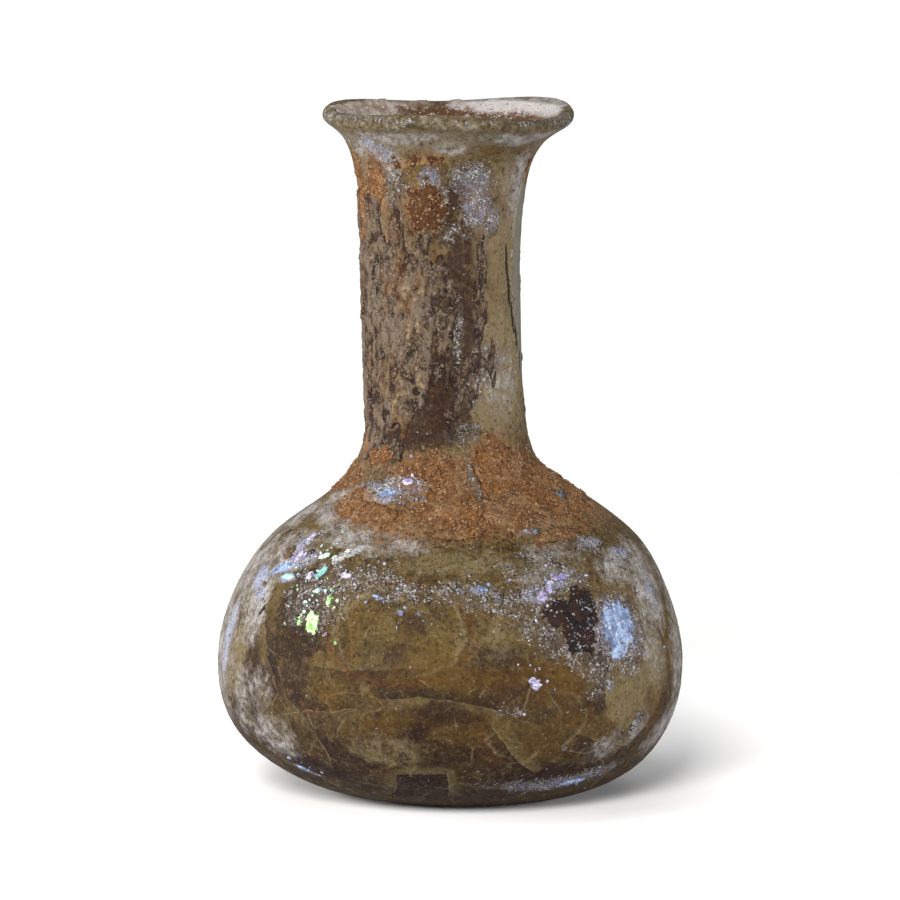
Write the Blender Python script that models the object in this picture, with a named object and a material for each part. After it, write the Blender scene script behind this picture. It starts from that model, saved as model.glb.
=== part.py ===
"""A small free-blown glass flask, long buried: squat domed body, cylinder neck, flared fire-polished lip.

One gather of glass, blown and tooled in one, so the flask is one solid. It is hollow from the mouth
to the floor, with walls of true thickness. Lengths below are millimetres until MM turns them to metres.
X is across the flask, -Y is its front and +Z is up. The origin is on the surface it stands on.
"""

import math
from collections import namedtuple

import bmesh
import bpy
from mathutils import Vector
from mathutils.geometry import interpolate_bezier

MM = 0.001
SEGMENTS = 64  # round the axis
MERGE_GAP = 1e-4  # points of the spun shape closer than this are one point

# Driving dimensions of the blown shape.
LIP_TOP = 84.9  # mean height of the mouth
BELLY_RADIUS = 29.2
BELLY_HEIGHT = 15.2  # where the body is widest
RING_RADIUS = 15.3  # outer edge of the flat ring that it stands on
RING_WIDTH = 4.3
KICK_HEIGHT = 1.4  # how far the underside is pushed up at its centre
NECK_RADIUS = 10.0
LIP_RADIUS = 15.7

# Walls, thick where the glass was worked least.
FLOOR_WALL = 2.8
BELLY_WALL = 1.7
NECK_WALL = 2.2
LIP_WALL = 2.2

# A station is a point that the outline passes through, the way it heads there (0 is outwards and
# 90 is up) and how far its curve is pulled along that heading on the way in and on the way out.
Station = namedtuple("Station", "radius height heading reach_in reach_out")

OUTSIDE = (
    Station(0.0, KICK_HEIGHT, 0, 0, 4.0),
    Station(RING_RADIUS - RING_WIDTH, 0.0, 0, 4.5, 1.0),
    Station(RING_RADIUS, 0.0, 11, 1.0, 4.4),
    Station(BELLY_RADIUS, BELLY_HEIGHT, 90, 10.7, 6.6),
    Station(21.2, 32.8, 148, 5.0, 14.0),
    Station(NECK_RADIUS, 51.7, 90, 12.4, 5.0),
    Station(NECK_RADIUS, 66.4, 90, 5.0, 12.6),
    Station(14.6, LIP_TOP - LIP_WALL, 34, 3.6, 0.7),
    Station(LIP_RADIUS, LIP_TOP - LIP_WALL / 2, 92, 0.6, 0.5),
    Station(LIP_RADIUS - 0.9, LIP_TOP, 186, 0.5, 0.5),
)
INSIDE = (
    Station(LIP_RADIUS - 0.9, LIP_TOP, 186, 0.5, 0.5),
    Station(13.4, LIP_TOP - 0.7, 212, 0.6, 3.0),
    Station(NECK_RADIUS - NECK_WALL, 69.0, 270, 9.5, 5.0),
    Station(NECK_RADIUS - NECK_WALL, 50.0, 270, 5.0, 10.0),
    Station(19.2, 32.0, 323, 11.5, 5.0),
    Station(BELLY_RADIUS - BELLY_WALL, BELLY_HEIGHT, 270, 6.2, 8.6),
    Station(13.0, 2.4, 186, 6.0, 3.0),
    Station(0.0, KICK_HEIGHT + FLOOR_WALL, 180, 5.0, 0),
)
OUTSIDE_STEPS = (3, 1, 7, 7, 9, 2, 7, 2, 2)
INSIDE_STEPS = (2, 6, 2, 8, 6, 6, 4)

# Hand work and heat left the flask a little uneven. Shifts are along X, from one height to another.
BASE_SHIFT, BASE_SHIFT_TOP = 1.3, 9.0
NECK_SHIFT, NECK_SHIFT_FOOT, NECK_SHIFT_TOP = -1.0, 30.0, 66.0
LIP_SHIFT, LIP_SHIFT_FOOT, LIP_SHIFT_TOP = 0.85, 76.5, 85.0
NECK_SET_BACK = 0.35  # along +Y, over the same heights as NECK_SHIFT

# The mouth rises and dips round its edge: waves to a turn, height and the angle of one crest.
LIP_WAVES = ((1, 0.28, 107), (2, 0.23, 34), (3, 0.41, 30))
LIP_WAVE_FOOT, LIP_WAVE_TOP = 78.0, 83.6
# The wall is out of round by a share of its radius: waves to a turn, share, crest and its turn per mm.
BODY_WAVES = ((3, 0.004, 75, 1.5), (5, 0.002, 10, -2.5))

# The shoulder is fuller on one side: mean height, how far up and down, by how much and at which angle.
FULLER_HEIGHT, FULLER_SPREAD, FULLER_BY, FULLER_SIDE = 31.0, 4.0, 0.3, 0

# Burial earth set hard in a collar round the foot of the neck. It is thickest on one side, where it
# also sags: mean height, height of the band, mean thickness, share more at the side, sag and side.
EARTH_HEIGHT, EARTH_SPREAD, EARTH_THICKNESS = 38.2, 3.2, 1.15
EARTH_SIDE_SHARE, EARTH_SAG, EARTH_SIDE = 0.4, 1.6, -8


def point_of(station):
    return Vector((station.radius, station.height))


def heading_of(station):
    angle = math.radians(station.heading)
    return Vector((math.cos(angle), math.sin(angle)))


def run_between(start, end, steps):
    """Points from one station up to the next, on the Bezier curve that keeps to both headings."""
    leave = point_of(start) + heading_of(start) * start.reach_out
    meet = point_of(end) - heading_of(end) * end.reach_in
    return interpolate_bezier(point_of(start), leave, meet, point_of(end), steps + 1)[:-1]


def outline(stations, steps_of_runs):
    points = []
    for start, end, steps in zip(stations, stations[1:], steps_of_runs):
        points += run_between(start, end, steps)
    return points


def eased(value, low, high):
    """0 below low, 1 above high and a smooth step between them."""
    share = min(max((value - low) / (high - low), 0.0), 1.0)
    return share * share * (3 - 2 * share)


def drift_at(height):
    """How far the axis has wandered at this height."""
    across = BASE_SHIFT * (1 - eased(height, 0.0, BASE_SHIFT_TOP))
    neck = eased(height, NECK_SHIFT_FOOT, NECK_SHIFT_TOP)
    across += NECK_SHIFT * neck
    across += LIP_SHIFT * eased(height, LIP_SHIFT_FOOT, LIP_SHIFT_TOP)
    return Vector((across, NECK_SET_BACK * neck, 0.0))


def wave_at(angle, count, crest):
    return math.cos(count * (angle - math.radians(crest)))


def lip_rise(angle, height):
    raised = eased(height, LIP_WAVE_FOOT, LIP_WAVE_TOP)
    return raised * sum(size * wave_at(angle, count, crest) for count, size, crest in LIP_WAVES)


def out_of_round(angle, height):
    share = 1.0
    for count, size, crest, turn in BODY_WAVES:
        share += size * wave_at(angle, count, crest + turn * height)
    return share


def fuller_at(angle, height):
    """How far the shoulder swells on its fuller side, and falls short on the other."""
    band = math.exp(-(((height - FULLER_HEIGHT) / FULLER_SPREAD) ** 2))
    return FULLER_BY * band * wave_at(angle, 1, FULLER_SIDE)


def earth_at(angle, height):
    """Thickness of the earth collar, which fades above and below the foot of the neck."""
    side = wave_at(angle, 1, EARTH_SIDE)
    above = height - (EARTH_HEIGHT - EARTH_SAG * side)
    band = math.exp(-((above / EARTH_SPREAD) ** 2))
    return EARTH_THICKNESS * band * (1 + EARTH_SIDE_SHARE * side)


def spun_flask():
    """The even flask: one closed outline, outside then inside, spun round the axis."""
    profile = outline(OUTSIDE, OUTSIDE_STEPS) + outline(INSIDE, INSIDE_STEPS)
    profile.append(point_of(INSIDE[-1]))
    outside_count = sum(OUTSIDE_STEPS)
    bm = bmesh.new()
    outer = bm.verts.layers.int.new("outer")
    rings = []
    for index, (radius, height) in enumerate(profile):
        vertex = bm.verts.new((radius, 0.0, height))
        vertex[outer] = index < outside_count
        rings.append(vertex)
    edges = [bm.edges.new(pair) for pair in zip(rings, rings[1:])]
    bmesh.ops.spin(
        bm,
        geom=rings + edges,
        axis=(0, 0, 1),
        cent=(0, 0, 0),
        angle=math.tau,
        steps=SEGMENTS,
        use_merge=True,
    )
    bmesh.ops.remove_doubles(bm, verts=bm.verts[:], dist=MERGE_GAP)
    bmesh.ops.recalc_face_normals(bm, faces=bm.faces[:])
    return bm, outer


def worked_by_hand(bm, outer):
    """Moves each point of the even flask to where hand work, heat and burial left it."""
    for vertex in bm.verts:
        x, y, height = vertex.co
        radius, angle = math.hypot(x, y), math.atan2(y, x)
        away = min(radius / NECK_RADIUS, 1.0)
        radius *= out_of_round(angle, height)
        radius += fuller_at(angle, height) * away
        if vertex[outer]:
            radius += earth_at(angle, height) * away
        moved = Vector((radius * math.cos(angle), radius * math.sin(angle), height))
        moved.z += lip_rise(angle, height)
        vertex.co = moved + drift_at(height)


def centred(bm):
    """Brings the middle of the flask's box over the origin, with its ring on the ground."""
    for axis in (0, 1):
        low = min(vertex.co[axis] for vertex in bm.verts)
        high = max(vertex.co[axis] for vertex in bm.verts)
        for vertex in bm.verts:
            vertex.co[axis] -= (low + high) / 2


def aged_glass():
    material = bpy.data.materials.new("aged_glass")
    material.use_nodes = True
    shader = material.node_tree.nodes["Principled BSDF"]
    shader.inputs["Base Color"].default_value = (0.19, 0.15, 0.09, 1.0)
    shader.inputs["Roughness"].default_value = 0.4
    shader.inputs["Metallic"].default_value = 0.0
    shader.inputs["IOR"].default_value = 1.5
    shader.inputs["Transmission Weight"].default_value = 0.3
    return material


def make_flask():
    bm, outer = spun_flask()
    worked_by_hand(bm, outer)
    centred(bm)
    bmesh.ops.scale(bm, vec=(MM, MM, MM), verts=bm.verts[:])
    mesh = bpy.data.meshes.new("flask")
    bm.to_mesh(mesh)
    bm.free()
    mesh.shade_smooth()
    mesh.materials.append(aged_glass())
    flask = bpy.data.objects.new("flask", mesh)
    bpy.context.scene.collection.objects.link(flask)
    return flask


for leftover in list(bpy.data.objects):
    bpy.data.objects.remove(leftover)
make_flask()
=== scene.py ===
"""Looks of a small free-blown glass flask that lay long in the ground.

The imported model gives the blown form, and every piece here is dressed over it: worn olive glass, the
rough skin on its neck, burial earth round the shoulder and in the mouth, scabs, and flakes of
iridescence. Lengths are in metres unless a name ends in _mm or is scaled by MM. +Z is up and -Y is the
front. Angles are degrees round the flask from the front, growing towards +X.
"""

import math
import random
from collections import namedtuple

import bmesh
import bpy
import numpy as np
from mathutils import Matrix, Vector, noise
from mathutils.bvhtree import BVHTree


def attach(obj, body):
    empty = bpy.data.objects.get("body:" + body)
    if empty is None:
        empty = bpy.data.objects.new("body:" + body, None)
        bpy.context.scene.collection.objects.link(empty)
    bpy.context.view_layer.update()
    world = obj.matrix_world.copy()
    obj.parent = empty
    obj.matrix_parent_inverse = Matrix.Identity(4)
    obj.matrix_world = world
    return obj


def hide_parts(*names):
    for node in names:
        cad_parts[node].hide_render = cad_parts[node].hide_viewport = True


MM = 0.001
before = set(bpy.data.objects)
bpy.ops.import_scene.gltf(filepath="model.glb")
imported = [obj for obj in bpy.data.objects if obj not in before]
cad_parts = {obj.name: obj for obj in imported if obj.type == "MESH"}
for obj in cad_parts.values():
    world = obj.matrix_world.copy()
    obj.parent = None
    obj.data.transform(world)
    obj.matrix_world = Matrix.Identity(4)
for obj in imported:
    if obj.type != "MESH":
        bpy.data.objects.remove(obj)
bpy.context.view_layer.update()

# ---------------------------------------------------------------------------------------------------
# Studio. The flask stands on a pale seamless floor before a bright wall. A soft light near the camera
# throws its shadow back, low ones at both sides light its walls, and two more keep the floor white.

CAMERA_PLACE = (0.0, -0.70, 0.1352)
CAMERA_AIM = (0.0, 0.0, 0.04215)
CAMERA_LENS = 227.2  # mm on a 36 mm sensor
FLOOR_RADIUS = 0.30
FLOOR_SIDES = 96
WALL_WHITE = 1.05
WALL_GLOW, DARK_FRONT = 0.18, 0.05
WALL_EDGE = (-0.25, 0.45)  # how far back a direction points where the dark front ends and the wall begins
FLOOR_PALE = (0.90, 0.90, 0.905, 1.0)
# place, aim, width and height in metres, power in watts and colour of each soft light
SOFT_LIGHTS = {
    "front_soft_light": ((-0.20, -0.79, 0.50), (0.0, 0.0, 0.03), 0.36, 0.36, 12.0, (1.0, 0.985, 0.96)),
    "top_soft_light": ((-0.20, 0.05, 0.85), (0.0, 0.0, 0.0), 0.5, 0.5, 1.8, (1.0, 0.99, 0.98)),
    "left_soft_light": ((-0.50, -0.05, 0.14), (0.0, 0.0, 0.05), 0.5, 0.22, 4.0, (1.0, 0.985, 0.96)),
    "right_soft_light": ((0.50, -0.14, 0.09), (0.0, 0.0, 0.05), 0.45, 0.16, 2.4, (0.97, 0.98, 1.0)),
    "back_soft_light": ((0.0, 0.75, 0.40), (0.0, 0.32, 0.0), 0.8, 0.3, 2.2, (1.0, 1.0, 1.0)),
}


def put(tree, socket, value):
    """Links an input to another node's output, or sets it to a plain value."""
    if isinstance(value, bpy.types.NodeSocket):
        tree.links.new(value, socket)
    else:
        socket.default_value = value


def new_node(tree, kind, inputs=None, **settings):
    """Adds a node of any kind, gives it its settings and then its inputs."""
    made = tree.nodes.new(kind)
    for name, value in settings.items():
        setattr(made, name, value)
    for name, value in (inputs or {}).items():
        put(tree, made.inputs[name], value)
    return made


def node(tree, kind, inputs=None, **settings):
    """A shader node, with each input linked to a socket or set to a plain value."""
    return new_node(tree, "ShaderNode" + kind, inputs, **settings)


def faced(place, aim):
    """The turn that points an object's -Z from its place at its aim."""
    return (Vector(aim) - Vector(place)).to_track_quat("-Z", "Y").to_euler()


def linked(name, facts):
    """A new object in the scene, for a mesh, a light or a camera."""
    made = bpy.data.objects.new(name, facts)
    bpy.context.scene.collection.objects.link(made)
    return made


def add_camera():
    lens = bpy.data.cameras.new("camera")
    lens.sensor_width = 36.0
    lens.lens = CAMERA_LENS
    camera = linked("camera", lens)
    camera.location = CAMERA_PLACE
    camera.rotation_euler = faced(CAMERA_PLACE, CAMERA_AIM)
    bpy.context.scene.camera = camera


def add_soft_light(name, place, aim, width, height, power, colour):
    light = bpy.data.lights.new(name, "AREA")
    light.shape = "RECTANGLE"
    light.size = width
    light.size_y = height
    light.energy = power
    light.color = colour
    stand = linked(name, light)
    stand.location = place
    stand.rotation_euler = faced(place, aim)


def add_surroundings():
    """White behind and dark in front, to light the flask, and plain white where the camera sees it."""
    world = bpy.data.worlds.new("surroundings")
    world.use_nodes = True
    tree = world.node_tree
    tree.nodes.clear()
    direction = node(tree, "TexCoord").outputs["Generated"]
    depth = node(tree, "SeparateXYZ", {"Vector": direction}).outputs["Y"]
    low, high = WALL_EDGE
    facts = {"Value": depth, "From Min": low, "From Max": high, "To Min": DARK_FRONT, "To Max": WALL_GLOW}
    behind = node(tree, "MapRange", facts, interpolation_type="SMOOTHSTEP").outputs["Result"]
    straight = node(tree, "LightPath").outputs["Is Camera Ray"]
    facts = {"Value": straight, "To Min": behind, "To Max": WALL_WHITE}
    strength = node(tree, "MapRange", facts).outputs["Result"]
    background = node(tree, "Background", {"Color": (1.0, 1.0, 1.0, 1.0), "Strength": strength})
    output = node(tree, "OutputWorld")
    tree.links.new(background.outputs[0], output.inputs["Surface"])
    bpy.context.scene.world = world


def add_floor():
    """The disc of pale paper that the flask stands on."""
    mesh = bpy.data.meshes.new("studio_floor")
    disc = bmesh.new()
    bmesh.ops.create_circle(disc, cap_ends=True, segments=FLOOR_SIDES, radius=FLOOR_RADIUS)
    disc.to_mesh(mesh)
    disc.free()
    material = bpy.data.materials.new("pale_paper")
    material.use_nodes = True
    paper = material.node_tree.nodes["Principled BSDF"]
    paper.inputs["Base Color"].default_value = FLOOR_PALE
    paper.inputs["Roughness"].default_value = 0.8
    mesh.materials.append(material)
    floor = linked("studio_floor", mesh)


add_camera()
add_surroundings()
add_floor()
for light_name, light_facts in SOFT_LIGHTS.items():
    add_soft_light(light_name, *light_facts)
bpy.context.scene.view_settings.view_transform = "Standard"

# ---------------------------------------------------------------------------------------------------
# The glass. One gather of olive-green glass, blown and tooled in one and open from mouth to floor. Its
# skin has weathered to brown layers that have partly flaked off, so light still glows through it.

# An oval spot on the outside: angle, height, then its width and height in mm, its turn, its strength
# and how square it is.
Mark = namedtuple("Mark", "angle height wide tall turn strength power", defaults=(0, 1.0, 2))

MERGE_GAP = 1e-6  # metres between points that are one
RING_TOP_MM, RING_INSIDE_MM = 3, 12  # of the ring that it stands on
OUTWARD = 0.25  # how far a face must turn outwards to be on the outside
LONGEST_MM = 1.1  # a longer edge is divided once more
CLEAR_OF_GLASS_MM = 40
LEAST_TURN = 1e-6  # so that even three spots in a line lie on a circle


def marks_from(*rows):
    """Marks, each given as a row of the facts above."""
    return tuple(Mark(*row) for row in rows)


def merged_copy(source):
    """The solid as a bmesh, with its loose triangles merged and joined into quads where it was spun."""
    bm = bmesh.new()
    bm.from_mesh(source.data)
    bmesh.ops.remove_doubles(bm, verts=bm.verts[:], dist=MERGE_GAP)
    flat, square = math.radians(40), math.radians(60)
    bmesh.ops.join_triangles(bm, faces=bm.faces[:], angle_face_threshold=flat, angle_shape_threshold=square)
    return bm


def is_outside(face):
    """True on the skin that the hand touches, from the ring that the flask stands on up to the lip."""
    middle = face.calc_center_median()
    radius = middle.xy
    if middle.z < RING_TOP_MM * MM:
        return radius.length > RING_INSIDE_MM * MM and face.normal.z < 0
    return face.normal.xy.dot(radius.normalized()) > OUTWARD


def worked_out(carrier):
    """The mesh that an object's modifiers make; the object itself is removed."""
    evaluated = carrier.evaluated_get(bpy.context.evaluated_depsgraph_get())
    mesh = bpy.data.meshes.new_from_object(evaluated)
    bpy.data.objects.remove(carrier)
    return mesh


def rounded(bm):
    """Rounds the facets once, then divides each outside face in nine and the longest rows again."""
    facets = bpy.data.meshes.new("facets")
    bm.to_mesh(facets)
    bm.free()
    carrier = linked("facets", facets)
    rounding = carrier.modifiers.new("rounding", "SUBSURF")
    rounding.levels = rounding.render_levels = 1
    smooth = worked_out(carrier)
    fine = bmesh.new()
    fine.from_mesh(smooth)
    bpy.data.meshes.remove(smooth)
    fine.normal_update()
    edges = {edge for face in fine.faces if is_outside(face) for edge in face.edges}
    bmesh.ops.subdivide_edges(fine, edges=list(edges), cuts=2, use_grid_fill=True)
    fine.normal_update()
    edges = {edge for face in fine.faces if is_outside(face) for edge in face.edges}
    long_edges = [edge for edge in edges if edge.calc_length() > LONGEST_MM * MM]
    bmesh.ops.subdivide_edges(fine, edges=long_edges, cuts=1, use_grid_fill=True)
    fine.normal_update()
    return fine


def rough(places, size_mm, octaves=4, stretch=(1, 1, 1), seed=0.0):
    """Fractal noise about 0 at each place; its broadest lumps are size_mm across, times the stretch."""
    spread = places / (size_mm * MM) / np.array(stretch) + seed
    return np.array([noise.fractal(place, 0.6, 2.0, octaves) for place in spread.tolist()])


def cell_reach(places, size_mm, seed=0.0):
    """How far each place is from the middle of its cell, in cells about size_mm across."""
    spread = places / (size_mm * MM) + seed
    return np.array([noise.voronoi(place)[0][0] for place in spread.tolist()])


def eased(values, low, high):
    """0 at low, 1 at high and a smooth step between them."""
    share = np.clip((values - low) / (high - low), 0.0, 1.0)
    return share * share * (3 - 2 * share)


def direction(angle):
    """Outwards at an angle round the flask."""
    return Vector((math.sin(math.radians(angle)), -math.cos(math.radians(angle)), 0.0))


def on_glass(angle, height_mm, inside=False):
    """The spot on the smooth form at that angle and height, and its normal."""
    away = direction(angle)
    start = Vector((0, 0, height_mm * MM)) + (Vector() if inside else away * CLEAR_OF_GLASS_MM * MM)
    spot, normal, *_ = smooth_form.ray_cast(start, away if inside else -away)
    return spot, normal


def marked(places, marks, soft=0.5):
    """How strongly each place lies in any of the marks."""
    share = np.zeros(len(places))
    for mark in marks:
        spot, normal = on_glass(mark.angle, mark.height)
        across = Vector((0, 0, 1)).cross(normal).normalized()
        up = normal.cross(across)
        turned = math.radians(mark.turn)
        along = across * math.cos(turned) + up * math.sin(turned)
        upwards = up * math.cos(turned) - across * math.sin(turned)
        offset = (places - np.array(spot)) / MM
        aside = np.abs(offset @ np.array(along) / (mark.wide / 2)) ** mark.power
        above = np.abs(offset @ np.array(upwards) / (mark.tall / 2)) ** mark.power
        reach = (aside + above) ** (1 / mark.power)
        facing = np.abs(offset @ np.array(normal)) < max(mark.wide, mark.tall) * 0.7 + 1
        share = np.maximum(share, mark.strength * facing * (1 - eased(reach, 1 - soft, 1 + soft)))
    return share


def hollow_of(fracture):
    """The round hollow whose edge passes a fracture's three spots: its centre, radius, middle and reach."""
    spots = [on_glass(*point)[0] / MM for point in fracture[:3]]
    normal = on_glass(*fracture.through)[1]
    across = Vector((0, 0, 1)).cross(normal).normalized()
    up = normal.cross(across)
    offsets = (spots[0] - spots[1], spots[2] - spots[1])
    first, last = (Vector((offset.dot(across), offset.dot(up))) for offset in offsets)
    turn = 2 * (first.x * last.y - first.y * last.x)
    turn = math.copysign(max(abs(turn), LEAST_TURN), turn)
    aside = (last.y * first.length_squared - first.y * last.length_squared) / turn
    above = (first.x * last.length_squared - last.x * first.length_squared) / turn
    centre = Vector((aside, above))
    if centre.length > STRAIGHT_MM:
        centre = centre.normalized() * STRAIGHT_MM
    reach = max(first.length, last.length)
    return spots[1] + across * centre.x + up * centre.y, centre.length, spots[1], reach


def read_points(mesh, fact="co"):
    """The places of a mesh's points, or another vector that each point has."""
    flat = np.empty(len(mesh.vertices) * 3)
    mesh.vertices.foreach_get(fact, flat)
    return flat.reshape(-1, 3)


def store(mesh, name, values):
    """Keeps a share for each point of a mesh, for its material to read."""
    mesh.attributes.new(name, "FLOAT", "POINT").data.foreach_set("value", values.astype(np.float32))


glass_form = rounded(merged_copy(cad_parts["flask"]))
smooth_form = BVHTree.FromBMesh(glass_form)

# Where the earth and the rough skin of the neck stick, and the bare spots within them.
EARTH_MARKS = marks_from(
    (-70, 39.4, 6, 5, -30, 0.6), (-50, 36.8, 8, 5.4, -15, 0.9), (-52, 42.4, 6, 3, 0, 0.8),
    (-37, 36.4, 9.5, 3.4, -8), (-12, 40.6, 10.5, 6.2), (3, 38.2, 11.5, 10.5, 0, 1.1),
    (3, 34.6, 8, 3, 4, 0.9), (25, 36.6, 9, 7, 0, 0.9), (33, 39.8, 10.5, 10.2, 0, 1.1),
    (58, 38.4, 11.5, 10.6, 0, 1.1), (84, 38.4, 11.5, 9.4), (40, 33.8, 9, 2.8, 8, 0.8), (118, 39, 12, 9),
    (160, 38.6, 13, 7, 5), (-160, 39.2, 12, 8.5), (-128, 38.8, 12, 7.6), (-98, 39.2, 11, 7, 0, 0.9),
)
BARE_MARKS = marks_from(
    (-29, 39, 8.4, 3.4, 12, 1.4), (-21, 38, 6, 2.4, 0, 0.9), (14, 39.4, 1.3, 6.6, 2, 0.7),
    (63, 37.6, 1.4, 1.4),
)
NECK_EARTH_MARKS = marks_from(
    (-77, 73, 5, 14.4, 3), (-54, 75.8, 3.6, 8, 3, 0.85), (-19, 73.2, 5, 6.6, 12, 0.9),
    (-34, 78.6, 5, 2, 0, 0.55), (-44, 69, 3, 4, 0, 0.6), (-14, 79.2, 5, 1.6, 5, 0.75),
    (75, 77.6, 2, 3.6, 0, 0.8), (150, 76, 6, 6, 0, 0.9),
)
CRUST_MARKS = marks_from(
    (-90, 58, 7, 32), (-62, 58, 7.5, 34), (-40, 57, 5.2, 32), (-22, 60, 4.6, 22, 0, 0.85),
    (-6, 58, 3.6, 24, 0, 0.62), (24, 61, 2.6, 16, 0, 0.62), (16, 52, 3, 8, 0, 0.6), (2, 50, 3, 11, 0, 0.6),
    (34, 54, 2.4, 8, 0, 0.5), (-120, 60, 8, 24), (-150, 55, 6, 14), (165, 64, 7, 10), (125, 52, 5, 9),
)
# Where the same skin and earth only stain the glass.
SKIN_STAIN_MARKS = marks_from(
    (-16, 64, 4, 14, 0, 0.8), (20, 60, 4, 20, 0, 0.6), (30, 62, 9, 26, 0, 0.95), (40, 50, 8, 10, 0, 0.8),
    (46, 66, 5, 14, 0, 0.7), (0, 75, 14, 10, 0, 0.55), (-60, 76, 8, 9, 0, 0.8), (55, 74, 8, 12, 0, 0.8),
    (180, 58, 26, 36, 0, 0.8), (120, 58, 10, 30, 0, 0.7),
)
DUST_MARKS = marks_from(
    (-60, 38.6, 10, 8, -20, 0.35), (20, 37.6, 28, 12, 0, 0.85), (75, 37.6, 14, 12, 0, 0.85),
    (-30, 35.5, 12, 5, -8, 0.7), (180, 38, 40, 12, 0, 0.7), (-78, 72, 5, 16, 0, 0.8),
    (-82, 60, 2, 30, 0, 0.5), (-77, 46, 5, 10, 0, 0.7),
)
EARTH_DEEP_MM, NECK_DEEP_MM = 0.45, 0.3  # how far the glass lies under each
COVERED, WELL_COVERED = 0.4, 0.8  # the cover at which a crust begins, and where it is fully there
UNEVEN_MM = 0.05  # the swell of blown glass


def earth_cover(places):
    """Above 0.5 where burial earth sticks to the shoulder."""
    cover = marked(places, EARTH_MARKS, 0.7) - marked(places, BARE_MARKS)
    return cover + 0.3 * rough(places, 2.2, 6, seed=7.3) + 0.2 * rough(places, 0.7, 4, seed=3.1)


def neck_earth_cover(places):
    """Above 0.5 where earth sticks to the top of the neck."""
    cover = marked(places, NECK_EARTH_MARKS, 0.9) + 0.45 * rough(places, 1.4, 5, seed=4.4)
    return cover + 0.2 * rough(places, 0.6, 4, seed=9.1)


def crust_cover(places):
    """Above 0.5 where the neck keeps its rough skin."""
    return marked(places, CRUST_MARKS, 0.5) + 0.34 * rough(places, 2.0, 6, stretch=(1, 1, 2.2), seed=2.1)


def settle(bm):
    """Lets the glass lie lower under earth and crust, with the faint swell of blown glass elsewhere."""
    outer = [v for v in bm.verts if any(is_outside(face) for face in v.link_faces)]
    places = np.array([v.co for v in outer])
    heights = places[:, 2] / MM
    crust, neck_earth, earth = (
        eased(cover(places), COVERED, WELL_COVERED) for cover in (crust_cover, neck_earth_cover, earth_cover)
    )
    sunk = np.maximum(EARTH_DEEP_MM * earth, NECK_DEEP_MM * np.maximum(crust, neck_earth))
    sunk = sunk + UNEVEN_MM * (0.6 + rough(places, 6.0, 3)) * eased(heights, 1.0, 4.0)
    for vert, depth in zip(outer, np.maximum(sunk, 0)):
        vert.co -= vert.normal * float(depth) * MM


settle(glass_form)
glass_mesh = bpy.data.meshes.new("flask_glass")
glass_form.to_mesh(glass_mesh)
glass_form.free()
glass_mesh.shade_smooth()

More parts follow.
